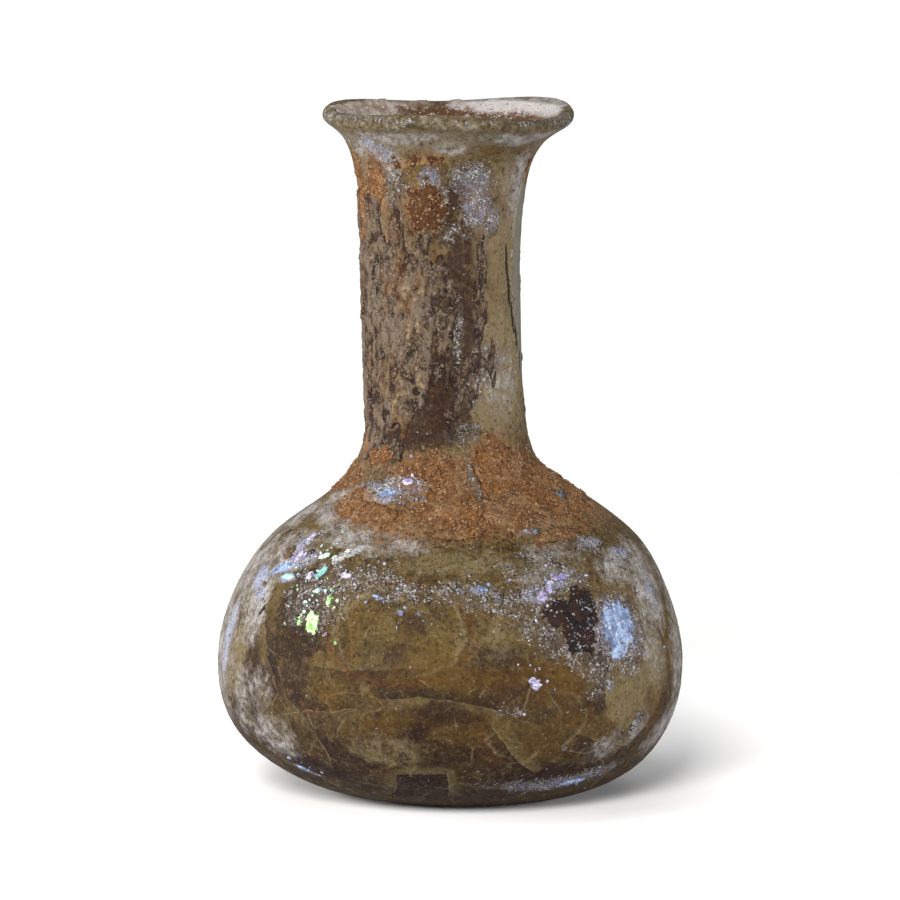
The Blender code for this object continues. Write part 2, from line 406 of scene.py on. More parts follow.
GLASS_MARKS = {
    # Weathering haze; the marks on the left and right edges are also painted light, for the brighter grazing
    # light there.
    "haze": marks_from(
        (-88, 21, 18, 24), (-84, 32, 8, 7, 0, 0.6), (-74, 22, 5, 12, 0, 0.9), (-61, 24.6, 4.4, 9, 8),
        (-84, 34.4, 6, 5, -20, 1.2), (-60, 31, 10, 7, 0, 0.8), (-54, 35.6, 12, 4, -10),
        (-44, 37.2, 4, 2.4, -10, 0.9), (-62, 13, 5, 9, -20, 0.5), (-65, 27, 6, 9, 0, 0.9),
        (-77, 28.6, 7, 8, 0, 0.9), (-66, 37.4, 8, 4, -30, 1.2), (-53, 14.6, 4.4, 6, -10, 0.5),
        (-51, 9.4, 8, 6, -14, 0.6), (44, 8.4, 6, 3.4, 20, 0.55), (76, 17, 6, 9, 0, 0.8),
        (40, 81.6, 10, 2.6), (-34, 33.6, 11, 4.2, -8, 1.1), (-20, 33.4, 9, 3.2, -4, 0.9),
        (34, 32.4, 8, 3, 0, 0.55), (30, 29.6, 8, 3, 0, 0.6), (56, 29.6, 7, 4.4, 0, 0.9),
        (86, 22, 9, 18, 0, 0.6), (68, 27, 7, 12, -25, 0.9), (72, 9, 10, 5, 30, 0.8),
        (54, 9.9, 4.5, 2.2, 35, 0.8), (60, 20, 5, 8, 10, 0.5), (-28, 81.8, 10, 2.2, 0, 0.9),
        (-64, 80.5, 6, 3, 0, 0.8), (-38, 78.6, 3, 2.6, 0, 0.6), (0, 80.6, 4, 2, 0, 0.7),
        (60, 76, 5, 8, 0, 0.7), (145, 85, 18, 5, 0, 1.3), (115, 84.6, 10, 4, 0, 1.2),
        (-150, 84.6, 14, 4, 0, 0.8), (44, 52, 6, 9, 0, 0.4), (150, 20, 22, 12, 10, 0.55),
        (-140, 26, 20, 9, -8, 0.55), (120, 30, 16, 6, 0, 0.5),
    ),
    "stain": marks_from(
        (4, 18.3, 20, 2.4, -1), (-8, 19.6, 9, 2, 6, 0.8), (26, 18.6, 9, 2.6, -8, 0.9),
        (-75, 12, 2.4, 4.6, 10, 1.2), (43, 12.4, 3, 7, -30, 1.1), (52, 9.4, 8, 1.8, 32, 0.9),
        (62, 13, 2.4, 8, 12, 0.9), (52, 12, 5, 5, 0, 0.7), (26, 16, 8, 3, 0, 0.7),
        (4, 12.5, 14, 5, -10, 0.6), (-25, 23, 1.5, 7.5, 4), (-30, 15.6, 2.6, 4, 20, 0.8),
        (-20, 12, 9, 3, 10, 0.5), (24, 10, 5, 4.4, 20, 0.9), (30, 13, 6, 4, 0, 0.6),
        (70, 30, 6, 4, -30, 0.8), (28, 80.4, 4.2, 1.7), (52, 80.1, 3.4, 1.8), (-14, 79.2, 6, 2.4, 5, 0.9),
        (-30, 77.6, 2.6, 3.4, 0, 0.9), (38, 65, 3, 12, 0, 0.8), (84, 77, 3, 6), (-13, 62, 3, 18, 0, 0.9),
        (-12, 51, 4, 8), (-8, 47, 4, 3, 0, 0.8), (4, 73, 5, 7, 0, 0.6), (14, 64, 1.6, 10, 0, 0.6),
        (-160, 14, 24, 4, 4, 0.9), (170, 25, 12, 6, 0, 0.5), (115, 18, 16, 4, -6, 0.8),
    ),
    # Dark stains; the broad marks near the bottom also add painted shade, and the tall stripe down the front
    # of the neck is also a painted reflection of the dark in front.
    "dark": marks_from(
        (-42, 24.4, 8, 12, 12), (-44, 16, 7, 6, 0, 0.6), (-49, 19, 3, 7, 0, 0.7),
        (-8, 4.9, 5.2, 2.7, 0, 1.1, 5), (-14, 48, 8, 7, 0, 1.2), (-26, 44.6, 9, 2.6, 0, 1.3),
        (-2, 73.6, 4, 4.6), (-7.7, 11.7, 2.4, 2.6, 0, 0.8), (-2, 14.2, 6, 3.4, 0, 0.8),
        (7, 60, 4.2, 30, 0, 0.9), (-6, 51, 6.4, 12), (4, 46.6, 6, 4, 0, 0.9), (-10, 72.6, 7, 8, 0, 0.8),
        (6, 71, 3.4, 6, 0, 0.8), (20, 54, 3, 4.6, 10, 0.7), (-59, 31, 3.2, 4.4, 20, 1.1),
        (26, 5, 16, 3.4, 5, 0.8), (2, 13.6, 8, 3, 5, 0.5), (-42, 6, 14, 5, -20, 0.8),
        (0, 8.6, 14, 4, 0, 0.5), (-30, 8, 12, 3.4, -24, 0.6), (0, 2.6, 40, 3, 0, 0.6),
        (3, 75.5, 4, 4, 0, 0.5), (12, 21.4, 6, 1.2, 0, 0.6), (160, 16, 10, 8, 0, 0.7),
        (-120, 12, 12, 8, 20, 0.6),
    ),
    # Patches of pale crystals with painted glints; the thin rows round the lip are painted glints along its
    # edge.
    "sparkle": marks_from(
        (-29, 39, 7.8, 3.2, 12), (-20, 38, 5, 2.2, 0, 0.8), (14, 39.4, 1.7, 7, 2),
        (14, 76.8, 5.6, 4.4, 0, 0.9), (26, 74.4, 3, 5, 0, 0.6), (-13, 76.8, 2.4, 2.8),
        (-38, 75.6, 3.4, 7, 0, 0.8), (18, 72.3, 2.8, 3), (33, 71.6, 2.6, 3.6), (-6, 74, 1.8, 5.6, 12, 0.6),
        (4, 70, 5, 2.2, 10, 0.5), (33, 28.8, 7, 2.4), (37, 18.8, 5, 3, 0, 0.8), (28, 24, 13, 7.5, -35),
        (10, 27.5, 15, 3.6, -12, 0.85), (48, 22.5, 9.4, 9.6), (48, 18.4, 3.4, 3.6, 0, 0.8),
        (-38, 27, 10, 9, 20, 0.85), (-22, 29, 14, 4, -10, 0.7), (50, 32.5, 5, 3, 0, 0.8),
        (28, 31, 11, 5, 0, 0.6), (40, 17, 6, 4, 30, 0.7), (14, 14, 4, 2, 0, 0.6),
        (-64, 84.2, 9, 1.2, 0, 1.3), (-40, 84.3, 10, 0.8), (-10, 84.2, 12, 0.7, 0, 0.45),
        (22, 84, 12, 0.7, 0, 0.5), (48, 83.7, 8, 1.2, 0, 0.8), (70, 83.4, 8, 1.6, 0, 0.9),
        (30, 4, 20, 3, 6, 0.55), (27, 54.2, 4.6, 3.6, 20, 1.1), (18, 51.6, 3, 6, 0, 0.6),
        (12, 45.4, 5, 2.6, 0, 0.8), (6, 58, 1.6, 9, 0, 0.7), (140, 28, 14, 6, -10, 0.7),
        (-165, 30, 10, 5, 12, 0.7),
    ),
    "pale": marks_from(
        (4, 31.5, 18, 3.6, 0, 0.6), (49, 14.3, 8.4, 7, 0, 0.85, 3), (60, 17.5, 6, 7, 0, 0.9),
        (44, 62, 5, 30, 0, 0.55), (-16, 9, 9, 4.4, 0, 0.5), (13, 23, 7, 5, 0, 0.5),
        (-66, 18.5, 5.4, 9, 0, 0.9), (62, 57, 5, 22, 0, 0.9), (42, 49, 8, 10, 0, 0.8),
        (40, 67, 3, 8, 0, 0.8), (40, 58.5, 4, 5, 0, 0.9), (60, 68, 6, 12, 0, 0.8),
    ),
    "film": marks_from(
        (-29, 39.2, 6.6, 2.8, 14), (-50, 38.6, 6, 2.4, 14, 0.55), (-34, 37.6, 3, 1.4, 20),
        (-56, 32.4, 1.5, 3.6, -20, 1.1), (-57.5, 29.4, 4.4, 1.6, 22, 1.2), (-52.5, 28.4, 3.4, 1, 8),
        (-61.5, 26, 2, 1.6, 0, 0.9), (34, 3.9, 17, 2.6, 7, 0.5), (-46, 5, 5, 1.2, -24, 0.6),
        (16, 76.6, 5, 4, 0, 0.46), (-13, 76.8, 2.6, 3, 0, 0.6), (20, 73, 4.4, 4.4, 0, 0.5),
        (34, 71.6, 2.4, 3, 0, 0.5), (-44, 79.8, 5, 3, 0, 0.5), (-50, 81.2, 3, 2, 0, 0.7),
        (24, 27.6, 3.4, 2), (31, 28.6, 3, 1), (47.5, 22.8, 8, 8, -5, 0.6), (-51, 30.8, 5, 2.6, 20, 0.8),
        (30, 34.4, 3.4, 1, 0, 0.8), (52, 32.6, 4, 1.6, 0, 0.8), (8, 28.4, 2.4, 1.2, 0, 0.8),
        (-74, 20, 3, 9, 0, 0.9), (-66, 27.6, 5, 3, -30, 0.8), (62, 31, 4, 2, -20, 0.6),
        (68, 26, 2.4, 5, -10, 0.6),
    ),
    # Strips of clear glass at the right of the neck; their pale paint is painted light showing through the
    # thin wall.
    "clear": marks_from((76, 65, 5.6, 22), (86, 55, 4, 14)),
    "plate": marks_from(
        (50.5, 13.8, 9.8, 8.6), (-13, 23.6, 16, 11), (-67, 19, 6.4, 10), (-26, 10, 11, 7.6, -12),
        (22, 12, 13, 8, 14), (-23.8, 14.9, 7.4, 2.6), (20, 26.4, 9, 6, -30), (75, 22, 8, 12),
        (-45, 11, 8, 9, 30), (160, 18, 14, 12), (-120, 22, 12, 10), (120, 12, 12, 9),
    ),
}
CRACK_MARKS = marks_from(
    (50, 66.2, 0.5, 4.6, 3), (53, 62.6, 0.5, 4.6, 5), (58, 59.4, 0.5, 4.6, 8), (64, 56.6, 0.5, 4.4, 10),
    (71, 53.8, 0.5, 3.8, 12), (77, 51.6, 0.4, 3, 12, 0.8), (-74.3, 32.6, 0.5, 2.2, -30),
    (-57.3, 24.6, 0.6, 2, -25), (24, 27.8, 1, 0.5, 10), (53, 11, 0.6, 2.6, -30), (30.8, 79.9, 0.4, 0.4),
    (49.4, 79.6, 0.4, 0.4),
)
# Old breaks inside the wall, each the edge of a round hollow: three spots on it by angle and height, how
# much lighter the hollow side is painted than the other, as painted light and shade that give the break
# relief, and how bright the edge is.
Fracture = namedtuple("Fracture", "start through end step edge", defaults=(0.5, 0.5))
STRAIGHT_MM = 60.0  # the radius of an edge that is nearly straight
FRACTURES = tuple(Fracture(*row) for row in (
    ((-55.2, 23.9), (-51.3, 20), (-47.8, 16.6), -1, 0.3),
    ((-47.8, 16.6), (-44.7, 14.1), (-40, 11.8), 0.4, 0.7),
    ((-48.8, 12.4), (-34.2, 13.5), (-21.3, 14.3), 0.3, 0.6),
    ((-43.2, 12.1), (-43.4, 9.3), (-48.2, 6.5), 0.5, 0.7),
    ((-39.1, 13), (-35.1, 10.5), (-33.6, 5.5), 0.5, 0.7),
    ((-33.7, 11.6), (-27.2, 13.2), (-19.8, 14.5), 0.3, 0.5), ((-14.8, 5.8), (-8, 6.2), (-1.1, 6), -1, 0.7),
    ((-1.1, 6), (-0.6, 4.4), (-0.3, 2.5), -1, 0.6), ((-14.8, 5.8), (-16.4, 4), (-20.2, 2.4), 0.8, 0.5),
    ((-9.3, 10.1), (-10.4, 8.3), (-11.8, 6.3), 0.5, 0.4),
    ((-37.3, 19), (-20.7, 19), (-4.1, 19.7), 0.6, 0.1),
    ((-27.3, 25), (-25.4, 22.5), (-24.4, 19.6), -0.6, 0.2),
    ((41.2, 17.9), (40.6, 13.9), (51.6, 10), 1, 0.4), ((59.3, 17.6), (62.7, 14.2), (60.6, 11.3), 0.8, 0.3),
    ((9.3, 13), (15.3, 9), (23.4, 6), 1, 0.7), ((-15.7, 15.6), (-0.7, 15.7), (7.6, 14.8), 0.8, 0.3),
    ((-12.3, 28.2), (-2.6, 25), (5.6, 21.2), 0.4, 0.2), ((2.7, 22.8), (5.4, 21.4), (7.7, 19.9), 0.3, 0.5),
    ((32.8, 10.8), (41.7, 9.1), (52.3, 8), 0.5, 0.6), ((-22.6, 8.6), (-16, 7.6), (-12, 9.4), 0.5, 0.3),
    ((148, 22), (160, 17), (176, 15), 0.8, 0.5), ((-130, 24), (-120, 16), (-104, 12), 0.8, 0.5),
    ((98, 22), (110, 14), (126, 9), -0.8, 0.5),
))
glass_places = read_points(glass_mesh)
for mark_name, marks in GLASS_MARKS.items():
    edge_softness = 1.0 if mark_name == "plate" else 0.5
    store(glass_mesh, mark_name, marked(glass_places, marks, edge_softness))
store(glass_mesh, "crack", marked(glass_places, CRACK_MARKS, 0.3))
store(glass_mesh, "skin", marked(glass_places, CRUST_MARKS + SKIN_STAIN_MARKS, 0.7))
store(glass_mesh, "dust", marked(glass_places, EARTH_MARKS + NECK_EARTH_MARKS + DUST_MARKS, 0.7))

LIT = 1.5  # how much brighter than its base colour the studio shows a dull surface
SHEEN = 0.014  # the white that its sheen adds
DARKEST = 0.004


def shown(red, green, blue):
    """The base colour that the studio shows as this screen colour, from 0 to 255."""
    light = (((part / 255 + 0.055) / 1.055) ** 2.4 - SHEEN for part in (red, green, blue))
    return tuple(max(part, DARKEST) / LIT for part in light) + (1.0,)


def mixed(tree, under, over, share):
    """One colour laid over another by a share from 0 to 1."""
    mix = node(tree, "Mix", data_type="RGBA")
    for index, value in ((0, share), (6, under), (7, over)):
        put(tree, mix.inputs[index], value)
    return mix.outputs[2]


def sums(tree, operation, first, second=0.0, third=0.0):
    """A Math node on sockets or plain numbers."""
    return node(tree, "Math", {0: first, 1: second, 2: third}, operation=operation).outputs[0]


def part_of(tree, share, most):
    return sums(tree, "MULTIPLY", share, most)


def vectors(tree, operation, first, second, output=0):
    """A Vector Math node on sockets or plain vectors."""
    return node(tree, "VectorMath", {0: first, 1: second}, operation=operation).outputs[output]


def moved(tree, places, offset):
    return vectors(tree, "ADD", places, offset)


def scaled(tree, vector, times):
    return node(tree, "VectorMath", {0: vector, "Scale": times}, operation="SCALE").outputs[0]


def step_between(tree, value, low, high, to_low=0.0, to_high=1.0):
    facts = {"Value": value, "From Min": low, "From Max": high, "To Min": to_low, "To Max": to_high}
    return node(tree, "MapRange", facts, interpolation_type="SMOOTHSTEP").outputs["Result"]


def noise_at(tree, places, size, detail=4.0, roughness=0.55, distortion=0.0):
    """Noise from 0 to 1; its broadest lumps are about size across, in the units of the places."""
    facts = {"Vector": places, "Detail": detail, "Roughness": roughness, "Distortion": distortion}
    facts["Scale"] = sums(tree, "DIVIDE", 1.0, size)
    return node(tree, "TexNoise", facts).outputs["Fac"]


def wandering(tree, places, scale):
    """A colour that changes slowly from place to place, to bend other patterns by."""
    return node(tree, "TexNoise", {"Vector": places, "Scale": scale, "Detail": 1.0}).outputs["Color"]


def blended(tree, dark, light, value, low, high):
    """From a dark paint to a light one as a value goes from low to high."""
    return mixed(tree, shown(*dark), shown(*light), step_between(tree, value, low, high))


def coated(tree, colour, *coats):
    """A colour under coats laid on in turn. Each is its paint, the most of it and the share of it there.

    Where two numbers follow, that share is a value, and the coat grows as it goes from one to the other.
    """
    for paint, most, value, *span in coats:
        over = shown(*paint) if isinstance(paint, tuple) else paint
        share = step_between(tree, value, *span) if span else value
        colour = mixed(tree, colour, over, part_of(tree, share, most))
    return colour


def new_group(name, inputs, outputs):
    """An empty shader group that takes places and named facts: the group, its inputs and its outputs."""
    group = bpy.data.node_groups.new(name, "ShaderNodeTree")
    kinds = {"vector": "NodeSocketVector", "number": "NodeSocketFloat", "colour": "NodeSocketColor"}
    group.interface.new_socket("Places", in_out="INPUT", socket_type=kinds["vector"])
    for label, value in inputs.items():
        kind = "vector" if value is None else "number"
        socket = group.interface.new_socket(label, in_out="INPUT", socket_type=kinds[kind])
        if value is not None:
            socket.default_value = value
    for label in outputs:
        kind = "colour" if label == "Color" else "number"
        group.interface.new_socket(label, in_out="OUTPUT", socket_type=kinds[kind])
    taken = group.nodes.new("NodeGroupInput").outputs
    given = group.nodes.new("NodeGroupOutput").inputs
    return group, taken, given


def effect(tree, group, places, **facts):
    """What a shader group gives at these places; light_share is the group's Light Share, and so on."""
    inputs = {label.replace("_", " ").title(): value for label, value in facts.items()}
    return node(tree, "Group", {"Places": places, **inputs}, node_tree=group).outputs


def make_broken_edge():
    """Breaks up the soft edge of a stored share, as dirt and film break up."""
    group, taken, given = new_group("broken_edge", {"Share": 0.0, "Size": 1.0, "Soft": 0.3}, ("Cover",))
    lumps = noise_at(group, taken["Places"], taken["Size"], 8.0, 0.7, 0.5)
    push = sums(group, "MULTIPLY_ADD", sums(group, "SUBTRACT", lumps, 0.5), 3.0, taken["Share"])
    low = sums(group, "SUBTRACT", 0.5, taken["Soft"])
    high = sums(group, "ADD", 0.5, taken["Soft"])
    cover = step_between(group, push, low, high)
    alone = step_between(group, taken["Share"], 0.02, 0.2)
    group.links.new(sums(group, "MULTIPLY", cover, alone), given["Cover"])
    return group


def make_grit():
    """Salt-and-pepper crumbs of light mineral and dark dirt, more of each as its share rises to 1."""
    inputs = {"Size": 0.4, "Light Share": 0.1, "Dark Share": 0.1}
    group, taken, given = new_group("grit", inputs, ("Light", "Dark", "Shade"))
    crowded = noise_at(group, taken["Places"], 1.6, 3.0, 0.6)
    crowding = step_between(group, crowded, 0.4, 0.62, 0.1, 1.0)
    places = moved(group, taken["Places"], scaled(group, wandering(group, taken["Places"], 6.0), 0.3))
    light = dark = 0.0
    for times, weight in ((1.8, 0.2), (1.0, 1.0)):  # a few larger crumbs among the small ones
        scale = sums(group, "DIVIDE", 1.0, sums(group, "MULTIPLY", taken["Size"], times))
        cells = node(group, "TexVoronoi", {"Vector": places, "Scale": scale})
        chance = node(group, "SeparateColor", {"Color": cells.outputs["Color"]}).outputs
        lit = part_of(group, sums(group, "MULTIPLY", taken["Light Share"], crowding), weight)
        dirty = part_of(group, sums(group, "MULTIPLY", taken["Dark Share"], crowding), weight)
        light = sums(group, "MAXIMUM", light, sums(group, "LESS_THAN", chance["Red"], lit))
        dark = sums(group, "MAXIMUM", dark, sums(group, "LESS_THAN", chance["Green"], dirty))
    group.links.new(light, given["Light"])
    group.links.new(dark, given["Dark"])
    group.links.new(chance["Blue"], given["Shade"])
    return group


def make_craze():
    """Old strain cracks: pieces of long curved lines, and a tone for each field between them."""
    group, taken, given = new_group("craze", {"Size": 8.0, "Width": 0.03}, ("Line", "Tone"))
    bent = vectors(group, "SUBTRACT", wandering(group, taken["Places"], 0.11), (0.5, 0.5, 0.5))
    places = moved(group, taken["Places"], scaled(group, bent, 9.0))
    facts = {"Vector": places, "Scale": sums(group, "DIVIDE", 1.0, taken["Size"])}
    edges = node(group, "TexVoronoi", facts, feature="DISTANCE_TO_EDGE")
    fields = node(group, "TexVoronoi", facts)
    line = step_between(group, edges.outputs["Distance"], taken["Width"], 0.0)
    seen = step_between(group, noise_at(group, taken["Places"], 5.0, 2.0), 0.5, 0.62)
    tone = node(group, "SeparateColor", {"Color": fields.outputs["Color"]}).outputs["Blue"]
    group.links.new(sums(group, "MULTIPLY", line, seen), given["Line"])
    group.links.new(tone, given["Tone"])
    return group


def make_flaking():
    """Where the weathered skin has come away in plates: the bare glass, and the pale edge round it."""
    group, taken, given = new_group("flaking", {"Size": 6.0, "Share": 0.5}, ("Bare", "Edge"))
    lumps = noise_at(group, moved(group, taken["Places"], (31.0, 17.0, 5.0)), taken["Size"], 5.0, 0.55, 1.2)
    limit = step_between(group, taken["Share"], 0.0, 1.0, 0.7, 0.3)
    past = sums(group, "SUBTRACT", lumps, limit)
    lit = step_between(group, noise_at(group, taken["Places"], 3.0, 2.0), 0.46, 0.56)
    edge = step_between(group, sums(group, "ABSOLUTE", past), 0.009, 0.0)
    group.links.new(step_between(group, past, -0.004, 0.004), given["Bare"])
    group.links.new(sums(group, "MULTIPLY", edge, lit), given["Edge"])
    return group


def make_fracture():
    """The edge of one round hollow in the wall, and the painted light and shade on its hollow and outer
    sides.
    """
    inputs = {"Centre": None, "Radius": 5.0, "Middle": None, "Reach": 3.0}
    group, taken, given = new_group("fracture", inputs, ("Edge", "Hollow", "Outer"))
    away = vectors(group, "DISTANCE", taken["Places"], taken["Centre"], "Value")
    along = vectors(group, "DISTANCE", taken["Places"], taken["Middle"], "Value")
    sway = sums(group, "SUBTRACT", noise_at(group, taken["Places"], 3.0, 3.0), 0.5)
    gap = sums(group, "MULTIPLY_ADD", sway, 1.2, sums(group, "SUBTRACT", away, taken["Radius"]))
    near = step_between(group, sums(group, "DIVIDE", along, taken["Reach"]), 1.15, 0.8)
    broken = step_between(group, noise_at(group, taken["Places"], 1.2, 3.0), 0.4, 0.55)
    edge = step_between(group, sums(group, "ABSOLUTE", gap), 0.09, 0.0)
    group.links.new(part_of(group, sums(group, "MULTIPLY", edge, near), broken), given["Edge"])
    for side, far, start, end in (("Hollow", -2.4, 0.03, -0.03), ("Outer", 1.8, -0.03, 0.03)):
        fading = step_between(group, gap, far, 0.0)
        shade = sums(group, "MULTIPLY", fading, step_between(group, gap, start, end))
        group.links.new(sums(group, "MULTIPLY", shade, near), given[side])
    return group


def make_silt():
    """The colour and fine relief of orange-brown burial silt."""
    group, taken, given = new_group("silt", {}, ("Color", "Relief"))
    lumps = noise_at(group, taken["Places"], 0.55, 5.0, 0.75)
    clouds = noise_at(group, taken["Places"], 4.0, 6.0, 0.65)
    colour = blended(group, (108, 72, 42), (176, 130, 88), lumps, 0.34, 0.64)
    colour = coated(group, colour, ((160, 132, 102), 0.6, clouds, 0.46, 0.6))
    group.links.new(colour, given["Color"])
    group.links.new(lumps, given["Relief"])
    return group


def make_skin():
    """The colour and relief of the neck's rough skin: buff and brown in upright streaks."""
    group, taken, given = new_group("skin", {}, ("Color", "Relief"))
    upright = vectors(group, "MULTIPLY", taken["Places"], (1.0, 1.0, 0.45))
    streaks = noise_at(group, upright, 0.8, 6.0, 0.68, 0.4)
    clouds = noise_at(group, upright, 4.0, 5.0, 0.62)
    greys = noise_at(group, moved(group, upright, (13.0, 7.0, 4.0)), 3.0, 5.0, 0.62)
    colour = blended(group, (56, 42, 31), (118, 102, 84), streaks, 0.36, 0.6)
    brown = ((102, 68, 38), 0.5, clouds, 0.5, 0.62)
    grey = ((118, 104, 92), 0.7, greys, 0.46, 0.58)
    group.links.new(coated(group, colour, brown, grey), given["Color"])
    group.links.new(streaks, given["Relief"])
    return group


broken_edge = make_broken_edge()
grit = make_grit()
craze = make_craze()
flaking = make_flaking()
fractured = make_fracture()
silt = make_silt()
skin = make_skin()


def new_material(name):
    """A material with its shader, and the places of its points in mm."""
    material = bpy.data.materials.new(name)
    material.use_nodes = True
    tree = material.node_tree
    places_mm = scaled(tree, node(tree, "TexCoord").outputs["Object"], 1 / MM)
    return tree, tree.nodes["Principled BSDF"], places_mm, material


def stored(tree, name):
    """A share kept on the mesh, for its material."""
    return node(tree, "Attribute", attribute_name=name).outputs["Fac"]


def covered(tree, places, name, size, soft):
    """The stored share of that name with its edge broken up."""
    return effect(tree, broken_edge, places, share=stored(tree, name), size=size, soft=soft)["Cover"]


def speckled(tree, colour, places, size, dark, light):
    """A colour under grit. Dark and light crumbs each have their number from 0 to 1, paint and strength."""
    crumbs = effect(tree, grit, places, size=size, light_share=light[0], dark_share=dark[0])
    return coated(tree, colour, (dark[1], dark[2], crumbs["Dark"]), (light[1], light[2], crumbs["Light"]))


def finished(tree, shader, colour, roughness, gloss, relief, depth_mm):
    """Gives a material its colour, roughness, strength of reflection and fine relief."""
    bump = node(tree, "Bump", {"Height": relief, "Distance": depth_mm * MM})
    tree.links.new(colour, shader.inputs["Base Color"])
    tree.links.new(bump.outputs["Normal"], shader.inputs["Normal"])
    put(tree, shader.inputs["Roughness"], roughness)
    shader.inputs["Specular IOR Level"].default_value = gloss


def fractures_in(tree, places):
    """All the fractures together: their edges, and the painted light and shade beside them that give them
    relief.
    """
    edges, lit, shade = 0.0, 0.0, 0.0
    for fracture in FRACTURES:
        centre, radius, middle, reach = hollow_of(fracture)
        seen = effect(tree, fractured, places, centre=centre, radius=radius, middle=middle, reach=reach)
        light, dark = ("Hollow", "Outer") if fracture.step > 0 else ("Outer", "Hollow")
        edges = sums(tree, "MAXIMUM", part_of(tree, seen["Edge"], fracture.edge), edges)
        lit = sums(tree, "MAXIMUM", part_of(tree, seen[light], abs(fracture.step)), lit)
        shade = sums(tree, "MAXIMUM", part_of(tree, seen[dark], abs(fracture.step)), shade)
    return edges, lit, shade


